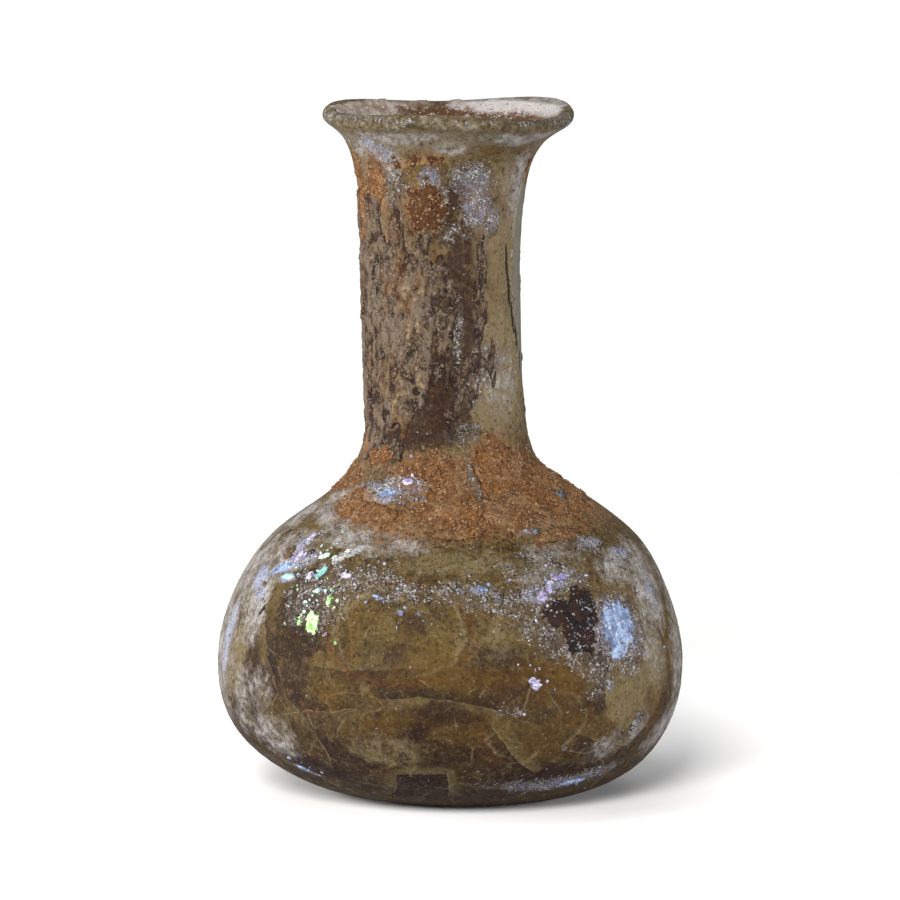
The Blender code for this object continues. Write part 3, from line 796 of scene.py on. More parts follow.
def worn_glass(name, see_through):
    """Olive glass under weathering. Only how far light passes through it differs between its kinds."""
    tree, shader, places, material = new_material(name)
    height = node(tree, "SeparateXYZ", {"Vector": places}).outputs["Z"]
    clouds = noise_at(tree, places, 8.0, 6.0, 0.62, 0.8)
    wisps = noise_at(tree, moved(tree, places, (9.0, 4.0, 2.0)), 2.2, 7.0, 0.68, 0.5)
    mottles = noise_at(tree, moved(tree, places, (3.0, 1.0, 7.0)), 1.0, 5.0, 0.65)
    grain = noise_at(tree, places, 0.45, 4.0, 0.7)
    fields = effect(tree, craze, places, size=9.0, width=0.025)
    edges, lit, shade = fractures_in(tree, places)

    # Clear glass shows where the milky skin has flaked off, in broad plates and in chips.
    # Both glasses are painted darker towards the bottom, as painted shade.
    low = step_between(tree, height, 22.0, 6.0)
    milky = blended(tree, (86, 68, 40), (132, 114, 80), wisps, 0.36, 0.6)
    milky = coated(tree, milky, ((62, 48, 24), 0.75, low))
    clear = blended(tree, (58, 40, 14), (108, 86, 42), clouds, 0.38, 0.6)
    clear = coated(tree, clear, ((52, 40, 10), 0.8, low))
    bare_share = step_between(tree, height, 29.0, 17.0, 0.25, 0.72)
    flaked = effect(tree, flaking, places, size=8.0, share=bare_share)
    chips = effect(tree, flaking, places, size=2.6, share=0.34)
    bare = sums(tree, "MAXIMUM", part_of(tree, flaked["Bare"], 0.85), part_of(tree, chips["Bare"], 0.5))

    # Plates of paler glass have a light rim and a rusty burr inside it.
    wavy = sums(tree, "MULTIPLY_ADD", sums(tree, "SUBTRACT", wisps, 0.5), 0.3, stored(tree, "plate"))
    rim = step_between(tree, sums(tree, "ABSOLUTE", sums(tree, "SUBTRACT", wavy, 0.5)), 0.05, 0.0)
    rim = sums(tree, "MULTIPLY", rim, step_between(tree, clouds, 0.4, 0.55))
    burr = step_between(tree, sums(tree, "ABSOLUTE", sums(tree, "SUBTRACT", wavy, 0.4)), 0.1, 0.0)
    lines = sums(tree, "MAXIMUM", flaked["Edge"], part_of(tree, chips["Edge"], 0.45))
    lines = sums(tree, "MAXIMUM", lines, rim)

    # Below the mouth the glass is paler, and on the lip it is mottled green and grey, the grey mottles being
    # painted glints.
    above = step_between(tree, height, 82.0, 83.0, 0.0, 0.5)
    mouth = sums(tree, "SUBTRACT", step_between(tree, height, 79.0, 81.6), above)
    on_lip = step_between(tree, height, 82.6, 83.3)
    green = sums(tree, "MULTIPLY", on_lip, step_between(tree, mottles, 0.5, 0.6))
    grey = sums(tree, "MULTIPLY", on_lip, step_between(tree, mottles, 0.46, 0.36))
    colour = coated(
        tree,
        mixed(tree, milky, clear, bare),
        ((66, 44, 18), 0.6, wisps, 0.52, 0.66),
        (mixed(tree, clear, shown(126, 108, 70), 0.3), 0.45, wavy, 0.48, 0.52),
        ((152, 140, 120), 0.75, mouth),
        ((84, 80, 58), 0.7, green),
        # painted glints on the lip
        ((176, 176, 168), 0.7, grey),
        ((72, 56, 30), 0.4, fields["Tone"]),
        ((104, 64, 24), 0.35, burr),
        ((170, 154, 118), 0.35, lines),
        ((50, 38, 18), 0.4, mottles, 0.52, 0.66),
        ((148, 130, 96), 0.35, mottles, 0.46, 0.32),
        # Painted shade and painted light on either side of the fractures give them relief.
        ((46, 34, 16), 0.6, shade),
        ((142, 124, 84), 0.4, lit),
    )

    # Over it lie the remains of crust, stains, dirt, haze and film, and the dust of the burial earth. The
    # dark dirt is also painted shade near the bottom and a painted reflection of the dark in front down the
    # front of the neck, and the haze is also painted light along the left and right edges.
    aged_skin = mixed(tree, effect(tree, skin, places)["Color"], shown(158, 136, 110), 0.35)
    hazy_and_edge_lit = blended(tree, (132, 124, 114), (200, 197, 196), wisps, 0.38, 0.62)
    hazy_and_edge_lit = coated(tree, hazy_and_edge_lit, ((108, 96, 80), 0.6, mottles, 0.5, 0.62))
    stain_and_shade_dark = blended(tree, (50, 37, 16), (54, 37, 10), height, 44.0, 47.0)
    layers = (
        ("skin", 1.2, 0.5, aged_skin, 0.95),
        ("stain", 1.2, 0.5, (102, 74, 37), 0.55),
        # dark stains, with painted shade and a painted dark reflection
        ("dark", 1.2, 0.4, stain_and_shade_dark, 0.8),
        ("pale", 1.6, 0.5, (150, 135, 102), 0.58),
        # haze, and painted light along the left and right edges
        ("haze", 1.1, 0.6, hazy_and_edge_lit, 0.85),
        ("film", 0.45, 0.2, (176, 184, 218), 0.7),
        ("dust", 0.35, 0.12, effect(tree, silt, places)["Color"], 0.95),
    )
    for attribute, size, soft, paint, most in layers:
        colour = coated(tree, colour, (paint, most, covered(tree, places, attribute, size, soft)))

    # Pale crystal crumbs lie in patches and under the film, thinly on the shoulder too; the brightest of
    # them are painted glints.
    patch = covered(tree, places, "sparkle", 1.0, 0.3)
    film = covered(tree, places, "film", 0.6, 0.4)
    crystals_and_glints = sums(tree, "MAXIMUM", patch, film)
    high = step_between(tree, height, 20.0, 31.0)
    band = sums(tree, "MULTIPLY", high, step_between(tree, height, 46.0, 38.0))
    everywhere = sums(tree, "MULTIPLY_ADD", band, 0.3, 0.05)
    light_share = sums(tree, "MULTIPLY_ADD", crystals_and_glints, 0.5, part_of(tree, everywhere, 0.08))
    dark_share = sums(tree, "MULTIPLY_ADD", crystals_and_glints, 0.42, part_of(tree, everywhere, 0.5))
    crumbs = effect(tree, grit, places, size=0.15, light_share=light_share, dark_share=dark_share)
    tone = sums(tree, "POWER", crumbs["Shade"], sums(tree, "SUBTRACT", 2.6, part_of(tree, film, 1.6)))
    colour = coated(
        tree,
        colour,
        ((176, 160, 124), 0.7, edges),
        ((170, 152, 116), 0.3, fields["Line"]),
        ((104, 94, 86), 0.45, patch),
        ((34, 26, 20), 0.75, crumbs["Dark"]),
        # The light crumbs run from grey to near white; the near-white ones are painted glints.
        (mixed(tree, shown(128, 116, 106), shown(244, 246, 255), tone), 0.75, crumbs["Light"]),
        ((40, 28, 12), 0.7, grain, 0.5, 0.7),
        ((170, 152, 112), 0.3, grain, 0.46, 0.26),
        # painted light through the clear strip
        ((168, 164, 146), 0.7, covered(tree, places, "clear", 1.0, 0.1)),
        ((16, 12, 10), 0.95, covered(tree, places, "crack", 0.3, 0.12)),
    )
    dull = sums(tree, "MULTIPLY_ADD", bare, -0.15, step_between(tree, wisps, 0.35, 0.7, 0.72, 0.95))
    relief = sums(tree, "MULTIPLY_ADD", wisps, 1.5, grain)
    relief = sums(tree, "MULTIPLY_ADD", bare, -1.0, relief)
    finished(tree, shader, colour, dull, 0.04, relief, 0.1)
    shader.inputs["IOR"].default_value = 1.5
    shader.inputs["Transmission Weight"].default_value = see_through
    return material


WORN_GLASS = worn_glass("worn_glass", 0.2)
CLEAR_GLASS = worn_glass("clear_glass", 0.5)
glass_mesh.materials.clear()
glass_mesh.materials.append(WORN_GLASS)
glass_mesh.materials.append(CLEAR_GLASS)
clear_share = marked(glass_places, GLASS_MARKS["clear"], 0.05)
for face in glass_mesh.polygons:
    if clear_share[list(face.vertices)].min() > 0.5:
        face.material_index = 1
glass = linked("flask_glass", glass_mesh)
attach(glass, "root")
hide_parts("flask")

# ---------------------------------------------------------------------------------------------------
# The rough skin of the neck. Buff lime and weathered glass have grown together into a pitted crust,
# thickest on the left, with a chain of cream lumps down it.

STEP_MM = 0.2  # between the points of a crust
SUNK_MM = 0.45  # how far a crust's underside reaches into the glass
BARE = -1.0  # the thickness of a crust where there is none
THINNEST_MM = -0.25  # a crust's top may lie this far under the glass's even surface


def crust_shell(angles, heights, thickness, step_mm=STEP_MM, inside=False):
    """Points, faces and lift of a closed crust between two angles and heights, but for what is BARE."""
    middle = on_glass((angles[0] + angles[1]) / 2, (heights[0] + heights[1]) / 2, inside)[0]
    round_mm = math.radians(angles[1] - angles[0]) * math.hypot(middle.x, middle.y) / MM
    columns = max(int(round_mm / step_mm), 2)
    rows = max(int((heights[1] - heights[0]) / step_mm), 2)
    whole = angles[1] - angles[0] >= 360
    sides = np.linspace(*angles, columns + 1)[: columns if whole else columns + 1]
    hits = [on_glass(a, h, inside) for h in np.linspace(*heights, rows + 1) for a in sides]
    missed = np.array([spot is None for spot, _ in hits])
    places = np.array([spot or (0, 0, 0) for spot, _ in hits])
    normals = np.array([normal or (0, 0, 1) for _, normal in hits])
    lift = np.where(missed, BARE, thickness(places))
    here = lift.reshape(rows + 1, len(sides)) > BARE
    cells = here & np.roll(here, -1, axis=1)
    cells = cells[:-1] & cells[1:]
    if not whole:
        cells[:, -1] = False
    row, column = np.nonzero(cells)
    after = (column + 1) % len(sides)
    start, above = row * len(sides), (row + 1) * len(sides)
    quads = np.stack([start + column, start + after, above + after, above + column], 1)
    if inside:
        quads = quads[:, ::-1]
    used, renumbered = np.unique(quads, return_inverse=True)
    top = renumbered.reshape(-1, 4)
    lift = lift[used]
    raised = places[used] + normals[used] * (lift * MM)[:, None]
    sunk = places[used] - normals[used] * SUNK_MM * MM
    count = len(used)
    faces = top.tolist() + (top[:, ::-1] + count).tolist()
    rim = {}  # the sides that only one quad has, in the order in which they are met
    for corners in top.tolist():
        for first, second in zip(corners, corners[1:] + corners[:1]):
            if (second, first) in rim:
                del rim[(second, first)]
            else:
                rim[(first, second)] = True
    faces += [(second, first, first + count, second + count) for first, second in rim]
    return np.concatenate([raised, sunk]), faces, np.concatenate([lift, np.full(count, BARE)])


def crust_mesh(name, *shells):
    """One mesh of all the shells given."""
    places, faces, lift = [], [], []
    for shell_places, shell_faces, shell_lift in shells:
        first = sum(len(part) for part in places)
        places.append(shell_places)
        faces += [tuple(corner + first for corner in face) for face in shell_faces]
        lift.append(shell_lift)
    mesh = bpy.data.meshes.new(name)
    mesh.from_pydata(np.concatenate(places).tolist(), [], faces)
    mesh.shade_smooth()
    store(mesh, "lift", np.concatenate(lift))
    return mesh


def spot_shell(mark, thickness, step_mm):
    """A crust that lies within one mark."""
    reach = max(mark.wide, mark.tall)
    spot = on_glass(mark.angle, mark.height)[0]
    turn = math.degrees(reach * MM / math.hypot(spot.x, spot.y))
    angles = (mark.angle - turn, mark.angle + turn)
    return crust_shell(angles, (mark.height - reach, mark.height + reach), thickness, step_mm)


def add_piece(mesh, material=None):
    """Puts a mesh on the flask as a piece of its own. Without a material it keeps what it has."""
    if material is not None:
        mesh.materials.append(material)
    piece = linked(mesh.name, mesh)
    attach(piece, "root")


LUMP_MARKS = marks_from(
    (-26, 62.8, 3, 3.2), (-31, 59.8, 3.4, 3.2), (-22, 58.4, 2.8, 2.8), (-33, 56.8, 3.2, 2.4, 0, 0.8),
    (-23, 52.2, 3.2, 3.2), (-33, 49.4, 3, 4, 0, 0.8), (-27, 46.8, 2.8, 2.6, 0, 0.7),
    (-140, 56, 4, 6, 0, 0.8),
)
PIT_MARKS = marks_from(
    (-69.8, 48.9, 1.3, 3.4), (-40.4, 45.7, 1.5, 1.7, 0, 0.9), (-51.2, 47.3, 1, 1.4, 0, 0.7),
    (-80, 60, 0.9, 1.6, 0, 0.8), (-62, 64.6, 0.7, 1.6, -10, 0.7), (-60, 57.4, 0.7, 1.8, 10, 0.8),
    (-52, 54.8, 0.6, 1.2, 0, 0.8), (-24, 50.6, 1.3, 0.9, 20, 0.8), (-56, 66.6, 0.6, 1.4, 0, 0.6),
)
SMOOTH_MARKS = marks_from((-49.7, 58.5, 1.9, 3.4, 20))


def neck_crust_thickness(places):
    """In mm, with cream lumps, pits and one calm spot."""
    cover = crust_cover(places)
    grain = rough(places, 1.2, 5, stretch=(1, 1, 1.8), seed=5.0)
    lumps = marked(places, LUMP_MARKS) * np.clip(0.75 - cell_reach(places, 0.85, 3.0), 0, 1)
    share = eased(cover, COVERED, WELL_COVERED)
    lift = -0.1 + share * (0.2 + 0.24 * grain) + 0.75 * lumps
    calm = marked(places, SMOOTH_MARKS, 0.2)
    lift = lift * (1 - calm) + 0.12 * calm
    lift -= 0.5 * marked(places, PIT_MARKS, 0.35)
    return np.where(cover > COVERED, np.maximum(lift, THINNEST_MM), BARE)


def neck_skin():
    """The finish of the neck's skin: cream where it stands high and dark in its hollows."""
    tree, shader, places, material = new_material("neck_skin")
    skinned = effect(tree, skin, places)
    lift = stored(tree, "lift")
    colour = coated(
        tree,
        skinned["Color"],
        ((150, 130, 100), 0.85, lift, 0.24, 0.5),
        ((46, 30, 21), 0.85, lift, 0.1, -0.08),
    )
    dark, light = (0.3, (42, 31, 23), 0.7), (0.12, (146, 132, 114), 0.6)
    colour = speckled(tree, colour, places, 0.17, dark, light)
    finished(tree, shader, colour, 0.85, 0.15, skinned["Relief"], 0.12)
    return material


NECK_SKIN = neck_skin()
for skin_name, skin_angles in (("neck_skin_front", (-130.0, 45.0)), ("neck_skin_back", (110.0, 225.0))):
    skin_shell = crust_shell(skin_angles, (41.5, 74.5), neck_crust_thickness)
    add_piece(crust_mesh(skin_name, skin_shell), NECK_SKIN)

# ---------------------------------------------------------------------------------------------------
# Burial earth. Orange-brown silt has set hard in a collar round the foot of the neck and clings in
# patches under the lip. It is a thin pitted cake with loose grains all over it.

CAKED = 1.1  # the cover at which the earth is thickest


def earth_thickness(places):
    """In mm, with small pits."""
    cover = earth_cover(places)
    grain = rough(places, 0.8, 5, seed=11.0)
    pits = np.clip(0.36 - cell_reach(places, 1.3, 8.0), 0, 1)
    lift = -0.14 + eased(cover, COVERED, CAKED) * (0.26 + 0.24 * grain) - 0.6 * pits
    return np.where(cover > COVERED, np.maximum(lift, THINNEST_MM), BARE)


def neck_earth_thickness(places):
    """In mm, thinner than on the shoulder and ribbed upright."""
    cover = neck_earth_cover(places)
    grain = rough(places, 0.9, 5, stretch=(1, 1, 2.2), seed=21.0)
    lift = -0.12 + eased(cover, COVERED, CAKED) * (0.22 + 0.22 * grain)
    return np.where(cover > COVERED, np.maximum(lift, THINNEST_MM), BARE)


def burial_earth(name, darkened):
    """Silt, made darker by a share from 0 to 1."""
    tree, shader, places, material = new_material(name)
    silted = effect(tree, silt, places)
    lift = stored(tree, "lift")
    tone = stored(tree, "tone")
    patches = noise_at(tree, moved(tree, places, (2.0, 6.0, 1.0)), 2.4, 6.0, 0.7)
    colour = coated(
        tree,
        silted["Color"],
        ((88, 62, 42), 0.6, lift, 0.06, -0.14),
        ((96, 66, 44), 0.5, tone, 0.35, 0.1),
        ((166, 126, 88), 0.5, tone, 0.6, 1.0),
        ((92, 70, 54), 0.6, patches, 0.52, 0.64),
        ((166, 136, 108), 0.45, patches, 0.46, 0.34),
    )
    colour = mixed(tree, colour, shown(76, 50, 29), darkened)
    dark, light = (0.4, (66, 44, 28), 0.7), (0.12, (196, 164, 130), 0.6)
    colour = speckled(tree, colour, places, 0.16, dark, light)
    finished(tree, shader, colour, 0.95, 0.2, silted["Relief"], 0.15)
    return material


# A lump is an ico sphere stretched between these, across, along and up.
LEAST_SHAPE, MOST_SHAPE = (0.7, 0.7, 0.6), (1.3, 1.3, 1.1)
TONE_SEED = 5


def strewn_tree():
    """Geometry Nodes: small lumps strewn over a surface where the share stored under a name is high."""
    tree = bpy.data.node_groups.new("strewn", "GeometryNodeTree")
    tree.is_modifier = True
    sockets = (
        ("Geometry", "NodeSocketGeometry", None),
        ("Share Name", "NodeSocketString", "grains"),
        ("Per Square Metre", "NodeSocketFloat", 5e6),
        ("Smallest", "NodeSocketFloat", 0.1 * MM),
        ("Largest", "NodeSocketFloat", 0.2 * MM),
        ("Flatness", "NodeSocketFloat", 0.0),
        ("Seed", "NodeSocketInt", 1),
        ("Finish", "NodeSocketMaterial", None),
    )
    for label, kind, value in sockets:
        socket = tree.interface.new_socket(label, in_out="INPUT", socket_type=kind)
        if value is not None:
            socket.default_value = value
    tree.interface.new_socket("Geometry", in_out="OUTPUT", socket_type="NodeSocketGeometry")
    taken = tree.nodes.new("NodeGroupInput").outputs

    def drawn(data_type, inputs):
        """A random number or vector of each lump's own."""
        made = new_node(tree, "FunctionNodeRandomValue", inputs, data_type=data_type)
        return next(socket for socket in made.outputs if socket.enabled)

    named = {"Name": taken["Share Name"]}
    share = new_node(tree, "GeometryNodeInputNamedAttribute", named, data_type="FLOAT").outputs["Attribute"]
    density = sums(tree, "MULTIPLY", share, taken["Per Square Metre"])
    facts = {"Mesh": taken["Geometry"], "Density": density, "Seed": taken["Seed"]}
    spots = new_node(tree, "GeometryNodeDistributePointsOnFaces", facts).outputs
    lump = new_node(tree, "GeometryNodeMeshIcoSphere", {"Radius": 1.0, "Subdivisions": 1}).outputs["Mesh"]
    size = drawn("FLOAT", {"Min": taken["Smallest"], "Max": taken["Largest"], "Seed": taken["Seed"]})
    shape = drawn("FLOAT_VECTOR", {0: LEAST_SHAPE, 1: MOST_SHAPE, "Seed": taken["Seed"]})
    thickness = sums(tree, "SUBTRACT", 1.0, taken["Flatness"])
    squash = node(tree, "CombineXYZ", {"X": 1.0, "Y": 1.0, "Z": thickness}).outputs[0]
    scale = scaled(tree, vectors(tree, "MULTIPLY", shape, squash), size)
    facts = {"Points": spots["Points"], "Instance": lump, "Rotation": spots["Rotation"], "Scale": scale}
    placed = new_node(tree, "GeometryNodeInstanceOnPoints", facts).outputs["Instances"]
    facts = {"Geometry": placed, "Name": "tone", "Value": drawn("FLOAT", {"Seed": TONE_SEED})}
    for_each = {"data_type": "FLOAT", "domain": "INSTANCE"}
    toned = new_node(tree, "GeometryNodeStoreNamedAttribute", facts, **for_each).outputs["Geometry"]
    real = new_node(tree, "GeometryNodeRealizeInstances", {"Geometry": toned}).outputs["Geometry"]
    facts = {"Geometry": real, "Material": taken["Finish"]}
    finished_lumps = new_node(tree, "GeometryNodeSetMaterial", facts).outputs["Geometry"]
    out = tree.nodes.new("NodeGroupOutput")
    tree.links.new(finished_lumps, out.inputs["Geometry"])
    return tree


STREWN = strewn_tree()


def strew(name, ground, share_name, per_square_metre, smallest_mm, largest_mm, flatness, seed, finish):
    """A mesh of the lumps strewn over a ground mesh, which is left as it was."""
    carrier = linked(name, ground)
    strewing = carrier.modifiers.new("strewn", "NODES")
    strewing.node_group = STREWN
    facts = {
        "Share Name": share_name,
        "Per Square Metre": per_square_metre,
        "Smallest": smallest_mm * MM,
        "Largest": largest_mm * MM,
        "Flatness": flatness,
        "Seed": seed,
        "Finish": finish,
    }
    for item in STREWN.interface.items_tree:
        if item.in_out == "INPUT" and item.name in facts:
            strewing[item.identifier] = facts[item.name]
    grains = worked_out(carrier)
    grains.name = name
    grains.shade_smooth()
    return grains


BURIAL_EARTH = burial_earth("burial_earth", 0.0)
# The earth on the front and right of the neck, under the lip, is painted darker.
DARKER_EARTH = burial_earth("darker_earth", 0.75)
# name, from which angle and height to which, thickness, mm between its points, and finish
EARTH_PIECES = (
    ("shoulder_earth", (0.0, 360.0), (31.0, 46.5), earth_thickness, 0.22, BURIAL_EARTH),
    ("neck_earth_left", (-100.0, -38.0), (68.5, 81.0), neck_earth_thickness, 0.2, BURIAL_EARTH),
    ("neck_earth_front", (-37.0, 5.0), (68.5, 81.0), neck_earth_thickness, 0.2, DARKER_EARTH),
    ("neck_earth_right", (65.0, 90.0), (74.5, 80.5), neck_earth_thickness, 0.2, DARKER_EARTH),
    ("neck_earth_back", (125.0, 175.0), (71.0, 81.0), neck_earth_thickness, 0.25, BURIAL_EARTH),
)
for earth_name, earth_angles, earth_heights, thickness, step, finish in EARTH_PIECES:
    cake = crust_mesh(earth_name, crust_shell(earth_angles, earth_heights, thickness, step))
    lift = np.empty(len(cake.vertices))
    cake.attributes["lift"].data.foreach_get("value", lift)
    store(cake, "grains", eased(lift, -0.08, 0.25))
    grains = strew(earth_name + "_grains", cake, "grains", 11e6, 0.05, 0.16, 0.1, seed=3, finish=finish)
    add_piece(cake, finish)
    add_piece(grains)

# Single grains have come loose and lie on the glass round the cakes, fewer the farther out.
outward = read_points(glass_mesh, "normal")
on_outside = (outward[:, :2] * glass_places[:, :2]).sum(axis=1) > 0
loose = marked(glass_places, EARTH_MARKS + NECK_EARTH_MARKS + DUST_MARKS, 1.0)
loose = loose * on_outside * eased(loose + rough(glass_places, 2.0, 4, seed=6.0), 0.1, 0.9)
loose[earth_cover(glass_places) > 0.5] = 0.0
store(glass_mesh, "loose", loose)
grains = strew("loose_grains", glass_mesh, "loose", 7e6, 0.04, 0.12, 0.2, seed=8, finish=BURIAL_EARTH)
add_piece(grains)

# ---------------------------------------------------------------------------------------------------
# The lining of the mouth. A thin bed of silt and haze lies on the inside of the lip and of the neck,
# pinkish on one side, dark and crumbly at the back and white on the other side.

LINING_DARK = marks_from(
    (-176, 83, 10, 2.6), (-160, 83.4, 6, 1.6, 0, 0.8), (150, 82.9, 10, 1.6), (125, 83, 10, 1.8),
    (100, 83.2, 8, 1.8), (10, 80, 14, 6), (180, 70, 20, 20),
)
LINING_WHITE = marks_from(
    (150, 84.5, 12, 2.4), (125, 84.7, 12, 2.4), (100, 84.6, 8, 2.2), (175, 84, 3, 1.2, 0, 0.6),
)
LINING_LUMPS = marks_from(
    (176, 84.6, 1, 0.8), (-172, 84.7, 0.8, 0.7), (-178, 84.5, 0.7, 0.7), (170, 84.6, 0.7, 0.6),
)


def lining_thickness(places):
    """In mm, with a few lumps at the lip."""
    grain = rough(places, 1.2, 5, seed=31.0)
    lift = 0.09 + 0.1 * grain + 0.3 * marked(places, LINING_LUMPS, 0.4)
    return np.maximum(lift, 0.01)


def mouth_lining():
    """The finish of the lining: pinkish silt, with dark damp spots and white haze."""
    tree, shader, places, material = new_material("mouth_lining")
    silted = effect(tree, silt, places)
    wisps = noise_at(tree, places, 1.6, 6.0, 0.7)
    darkened = mixed(tree, silted["Color"], shown(84, 62, 50), 0.85)
    colour = coated(
        tree,
        blended(tree, (140, 120, 104), (190, 178, 166), wisps, 0.36, 0.62),
        (darkened, 1.0, covered(tree, places, "dark", 1.2, 0.4)),
        ((196, 192, 192), 0.85, covered(tree, places, "white", 1.4, 0.5)),
    )
    dark, light = (0.14, (70, 52, 40), 0.6), (0.15, (224, 218, 212), 0.6)
    colour = speckled(tree, colour, places, 0.17, dark, light)
    finished(tree, shader, colour, 0.9, 0.2, silted["Relief"], 0.12)
    return material


lining_shell = crust_shell((0.0, 360.0), (62.0, 84.9), lining_thickness, 0.32, inside=True)
lining_mesh = crust_mesh("mouth_lining", lining_shell)
lining_places = read_points(lining_mesh)


def marked_inside(places, marks):
    """As marked(), with every spot on the inner wall."""
    share = np.zeros(len(places))
    for mark in marks:
        spot, _ = on_glass(mark.angle, mark.height, inside=True)
        offset = (places - np.array(spot)) / MM
        aside = np.hypot(offset[:, 0], offset[:, 1]) / (mark.wide / 2)
        reach = np.hypot(aside, offset[:, 2] / (mark.tall / 2))
        share = np.maximum(share, mark.strength * (1 - eased(reach, 0.5, 1.5)))
    return share


store(lining_mesh, "dark", marked_inside(lining_places, LINING_DARK))
store(lining_mesh, "white", marked_inside(lining_places, LINING_WHITE))
add_piece(lining_mesh, mouth_lining())

# ---------------------------------------------------------------------------------------------------
# Scabs. Iron and manganese from the soil have grown into hard dark scabs on the glass, and lime into
# pale ones. They are thick crusts with a broken edge, stuck fast.


def scab_material(name, low, high, second, second_share):
    """A scab's finish: its two shades by how high it stands, and a second colour in part of it."""
    tree, shader, places, material = new_material(name)
    lumps = noise_at(tree, places, 0.7, 5.0, 0.7)
    turned = noise_at(tree, moved(tree, places, (5.0, 3.0, 1.0)), 2.2, 3.0)
    colour = blended(tree, low, high, lumps, 0.36, 0.62)
    colour = coated(tree, colour, (second, second_share, turned, 0.56, 0.46))
    dark, light = (0.4, (24, 20, 18), 0.8), (0.07, (206, 200, 210), 0.6)
    colour = speckled(tree, colour, places, 0.16, dark, light)
    roughness = step_between(tree, lumps, 0.3, 0.7, 0.5, 0.9)
    finished(tree, shader, colour, roughness, 0.2, lumps, 0.15)
    return material


def scab_thickness(mark, thick_mm):
    """The thickness of the scab within one mark, at any places."""

    def thickness(places):
        cover = marked(places, (mark,), 0.5) + 0.45 * rough(places, 1.2, 6, seed=41.0)
        lift = -0.1 + eased(cover, COVERED, 0.85) * (thick_mm + 0.2 * rough(places, 0.7, 4, seed=2.0))
        return np.where(cover > COVERED, lift, BARE)

    return thickness


# name, thickness, its darker and lighter shade, its second colour, the most of that, and where it is
SCABS = (
    (
        "dark_scab", 0.34, (14, 10, 8), (46, 37, 31), (80, 50, 31), 0.32,
        marks_from(
            (31, 25.4, 5.4, 3.8, 8), (35, 22.6, 4.6, 5, -25), (37.4, 25.6, 3.6, 5.6), (33, 24.4, 4, 4),
        ),
    ),
    (
        "long_pale_scab", 0.5, (120, 112, 100), (232, 228, 222), (176, 184, 196), 0.4,
        marks_from((-33.2, 31.9, 5.6, 1.1, 40), (-36.6, 31, 1.8, 1.2, 30)),
    ),
    (
        "oval_scab", 0.4, (40, 42, 44), (104, 108, 112), (150, 156, 170), 0.4,
        marks_from((63.3, 37.6, 1.8, 1.4, -10)),
    ),
    (
        "red_pit_scab", 0.2, (64, 32, 22), (104, 60, 44), (80, 40, 28), 0.5,
        marks_from((-70, 50.2, 0.9, 1.2), (-69, 47.8, 0.9, 1.4)),
    ),
    (
        "small_scabs_right", 0.3, (46, 42, 40), (150, 146, 148), (70, 62, 56), 0.5,
        marks_from(
            (32, 34.4, 1.7, 0.7, 15), (24, 27.8, 1.2, 0.7), (53, 11.2, 1.4, 3, -35), (12.6, 27.2, 1.4, 0.7),
            (30, 9, 1, 0.6),
        ),
    ),
    (
        "small_scabs_left", 0.25, (66, 48, 34), (126, 102, 78), (96, 72, 50), 0.5,
        marks_from((-59.5, 31, 2.2, 2.6, 20), (-49, 31.6, 1.6, 0.8, 30), (-62, 27.2, 0.9, 0.7)),
    ),
    (
        "back_scab", 0.4, (34, 28, 24), (84, 68, 56), (112, 70, 46), 0.7,
        marks_from((150, 24, 4.6, 3.4, 20), (-150, 12, 3.4, 2.6, 10)),
    ),
)
for scab_name, thick_mm, low, high, second, second_share, marks in SCABS:
    shells = [spot_shell(mark, scab_thickness(mark, thick_mm), 0.12) for mark in marks]
    finish = scab_material(scab_name, low, high, second, second_share)
    add_piece(crust_mesh(scab_name, *shells), finish)

# ---------------------------------------------------------------------------------------------------
# Iridescent flakes. Where the weathered skin has split into films thinner than paper, single flakes
# of it still cling and show green, blue or lilac.

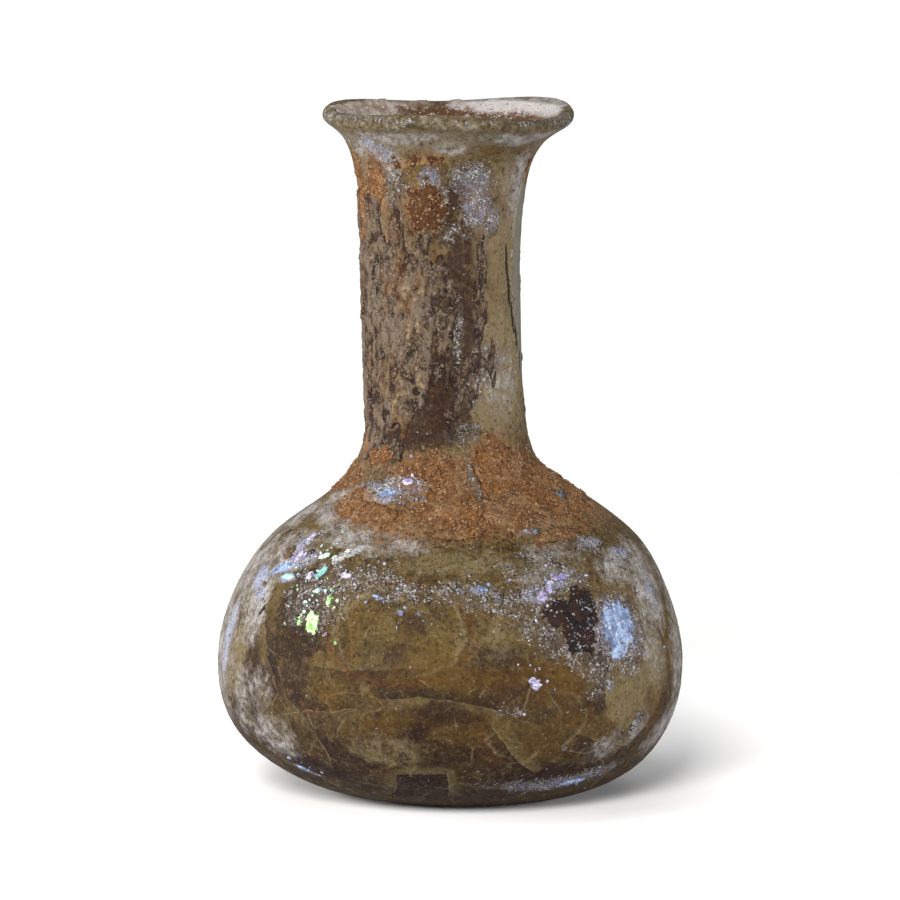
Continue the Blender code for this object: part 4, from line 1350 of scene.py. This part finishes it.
# name, deep shade, pale shade, and where they are
FLAKES = (
    (
        "green_flakes", (128, 190, 92), (226, 246, 196),
        marks_from((-37.3, 24.1, 1.8, 2.7, 12, 1, 3), (-33.8, 26.6, 0.8, 1.7, 10), (-41.5, 23.8, 0.7, 0.9)),
    ),
    (
        "cyan_flakes", (122, 190, 186), (214, 240, 234),
        marks_from(
            (-40, 29.6, 1, 2, -20), (-38.6, 27.6, 0.9, 0.8), (-42, 31.4, 1.8, 0.9, 30),
            (-37.8, 31.4, 1, 0.6, 20), (-41.4, 26.2, 0.7, 0.6), (-52.6, 28.6, 2.6, 0.9, 10),
        ),
    ),
    (
        "lilac_flakes", (132, 122, 168), (218, 210, 236),
        marks_from(
            (-43.8, 29.1, 1.1, 1.3), (20.7, 17.4, 1.3, 1.6, 45, 1, 3), (-53.6, 30.8, 1.4, 2.2, -20),
            (-54.6, 33, 1, 1.8, -20), (28.2, 28.4, 1, 1.6, -10), (33.4, 29.4, 2.4, 0.9, 4),
            (25.6, 27.4, 1.4, 1.6), (-31, 29.6, 1.6, 1), (-24, 39.8, 1.4, 1),
        ),
    ),
    (
        "blue_flakes", (98, 114, 150), (150, 172, 208),
        marks_from(
            (47.6, 23.2, 5.4, 5.6, -8, 1, 3), (46, 20.2, 3, 2, 15), (-57, 29.4, 3.4, 1.3, 24),
            (8.5, 28.6, 1.3, 0.7), (38, 3.9, 3.4, 1, 8), (-46, 5.2, 1.8, 0.7, -25),
            (-33, 38.4, 2.4, 1.2, 20), (-20.5, 27.6, 0.9, 0.6), (-12.9, 25.8, 0.8, 0.9),
        ),
    ),
)
FLAKE_MM = 0.07
FLAKE_COVERED = 0.45  # the cover at which a flake begins
CRUMBS = 9  # broken off each flake


def crumbled(marks, seed):
    """The flakes, each with small ones broken off round it."""
    chance = random.Random(seed)
    pieces = list(marks)
    for mark in marks:
        for _ in range(CRUMBS):
            angle = mark.angle + chance.gauss(0, 1) * (mark.wide + 1) * 1.7
            height = mark.height + chance.gauss(0, 1) * (mark.tall + 1) * 0.7
            wide, tall = chance.uniform(0.2, 0.5), chance.uniform(0.2, 0.6)
            pieces.append(Mark(angle, max(height, 1.0), wide, tall, chance.uniform(0, 90)))
    return pieces


def iridescent(name, deep, pale):
    """A film of changing colour: deep to pale in small clouds, crackled, and glossier than the rest."""
    tree, shader, places, material = new_material(name)
    clouds = noise_at(tree, places, 1.0, 5.0, 0.65)
    fields = effect(tree, craze, places, size=0.8, width=0.05)
    colour = blended(tree, deep, pale, clouds, 0.38, 0.62)
    colour = coated(tree, colour, ((96, 92, 104), 0.6, fields["Line"]))
    edge = step_between(tree, stored(tree, "lift"), FLAKE_MM * 1.1, FLAKE_MM * 0.4)
    dark_share = sums(tree, "MULTIPLY_ADD", edge, 0.6, 0.2)
    # The near-white light crumbs are painted glints.
    dark, light = (dark_share, (66, 60, 62), 0.85), (0.16, (248, 248, 255), 0.5)
    colour = speckled(tree, colour, places, 0.15, dark, light)
    finished(tree, shader, colour, 0.5, 0.3, clouds, 0.05)
    return material


def flake_thickness(mark):
    """The thickness of the flake within one mark, at any places."""

    def thickness(places):
        cover = marked(places, (mark,), 0.5) + 0.45 * rough(places, 0.8, 6, seed=51.0)
        return np.where(cover > FLAKE_COVERED, FLAKE_MM * (0.4 + eased(cover, FLAKE_COVERED, 0.9)), BARE)

    return thickness


for flake_name, deep, pale, marks in FLAKES:
    pieces = crumbled(marks, seed=4)
    shells = [spot_shell(mark, flake_thickness(mark), 0.1) for mark in pieces]
    finish = iridescent(flake_name, deep, pale)
    add_piece(crust_mesh(flake_name, *shells), finish)
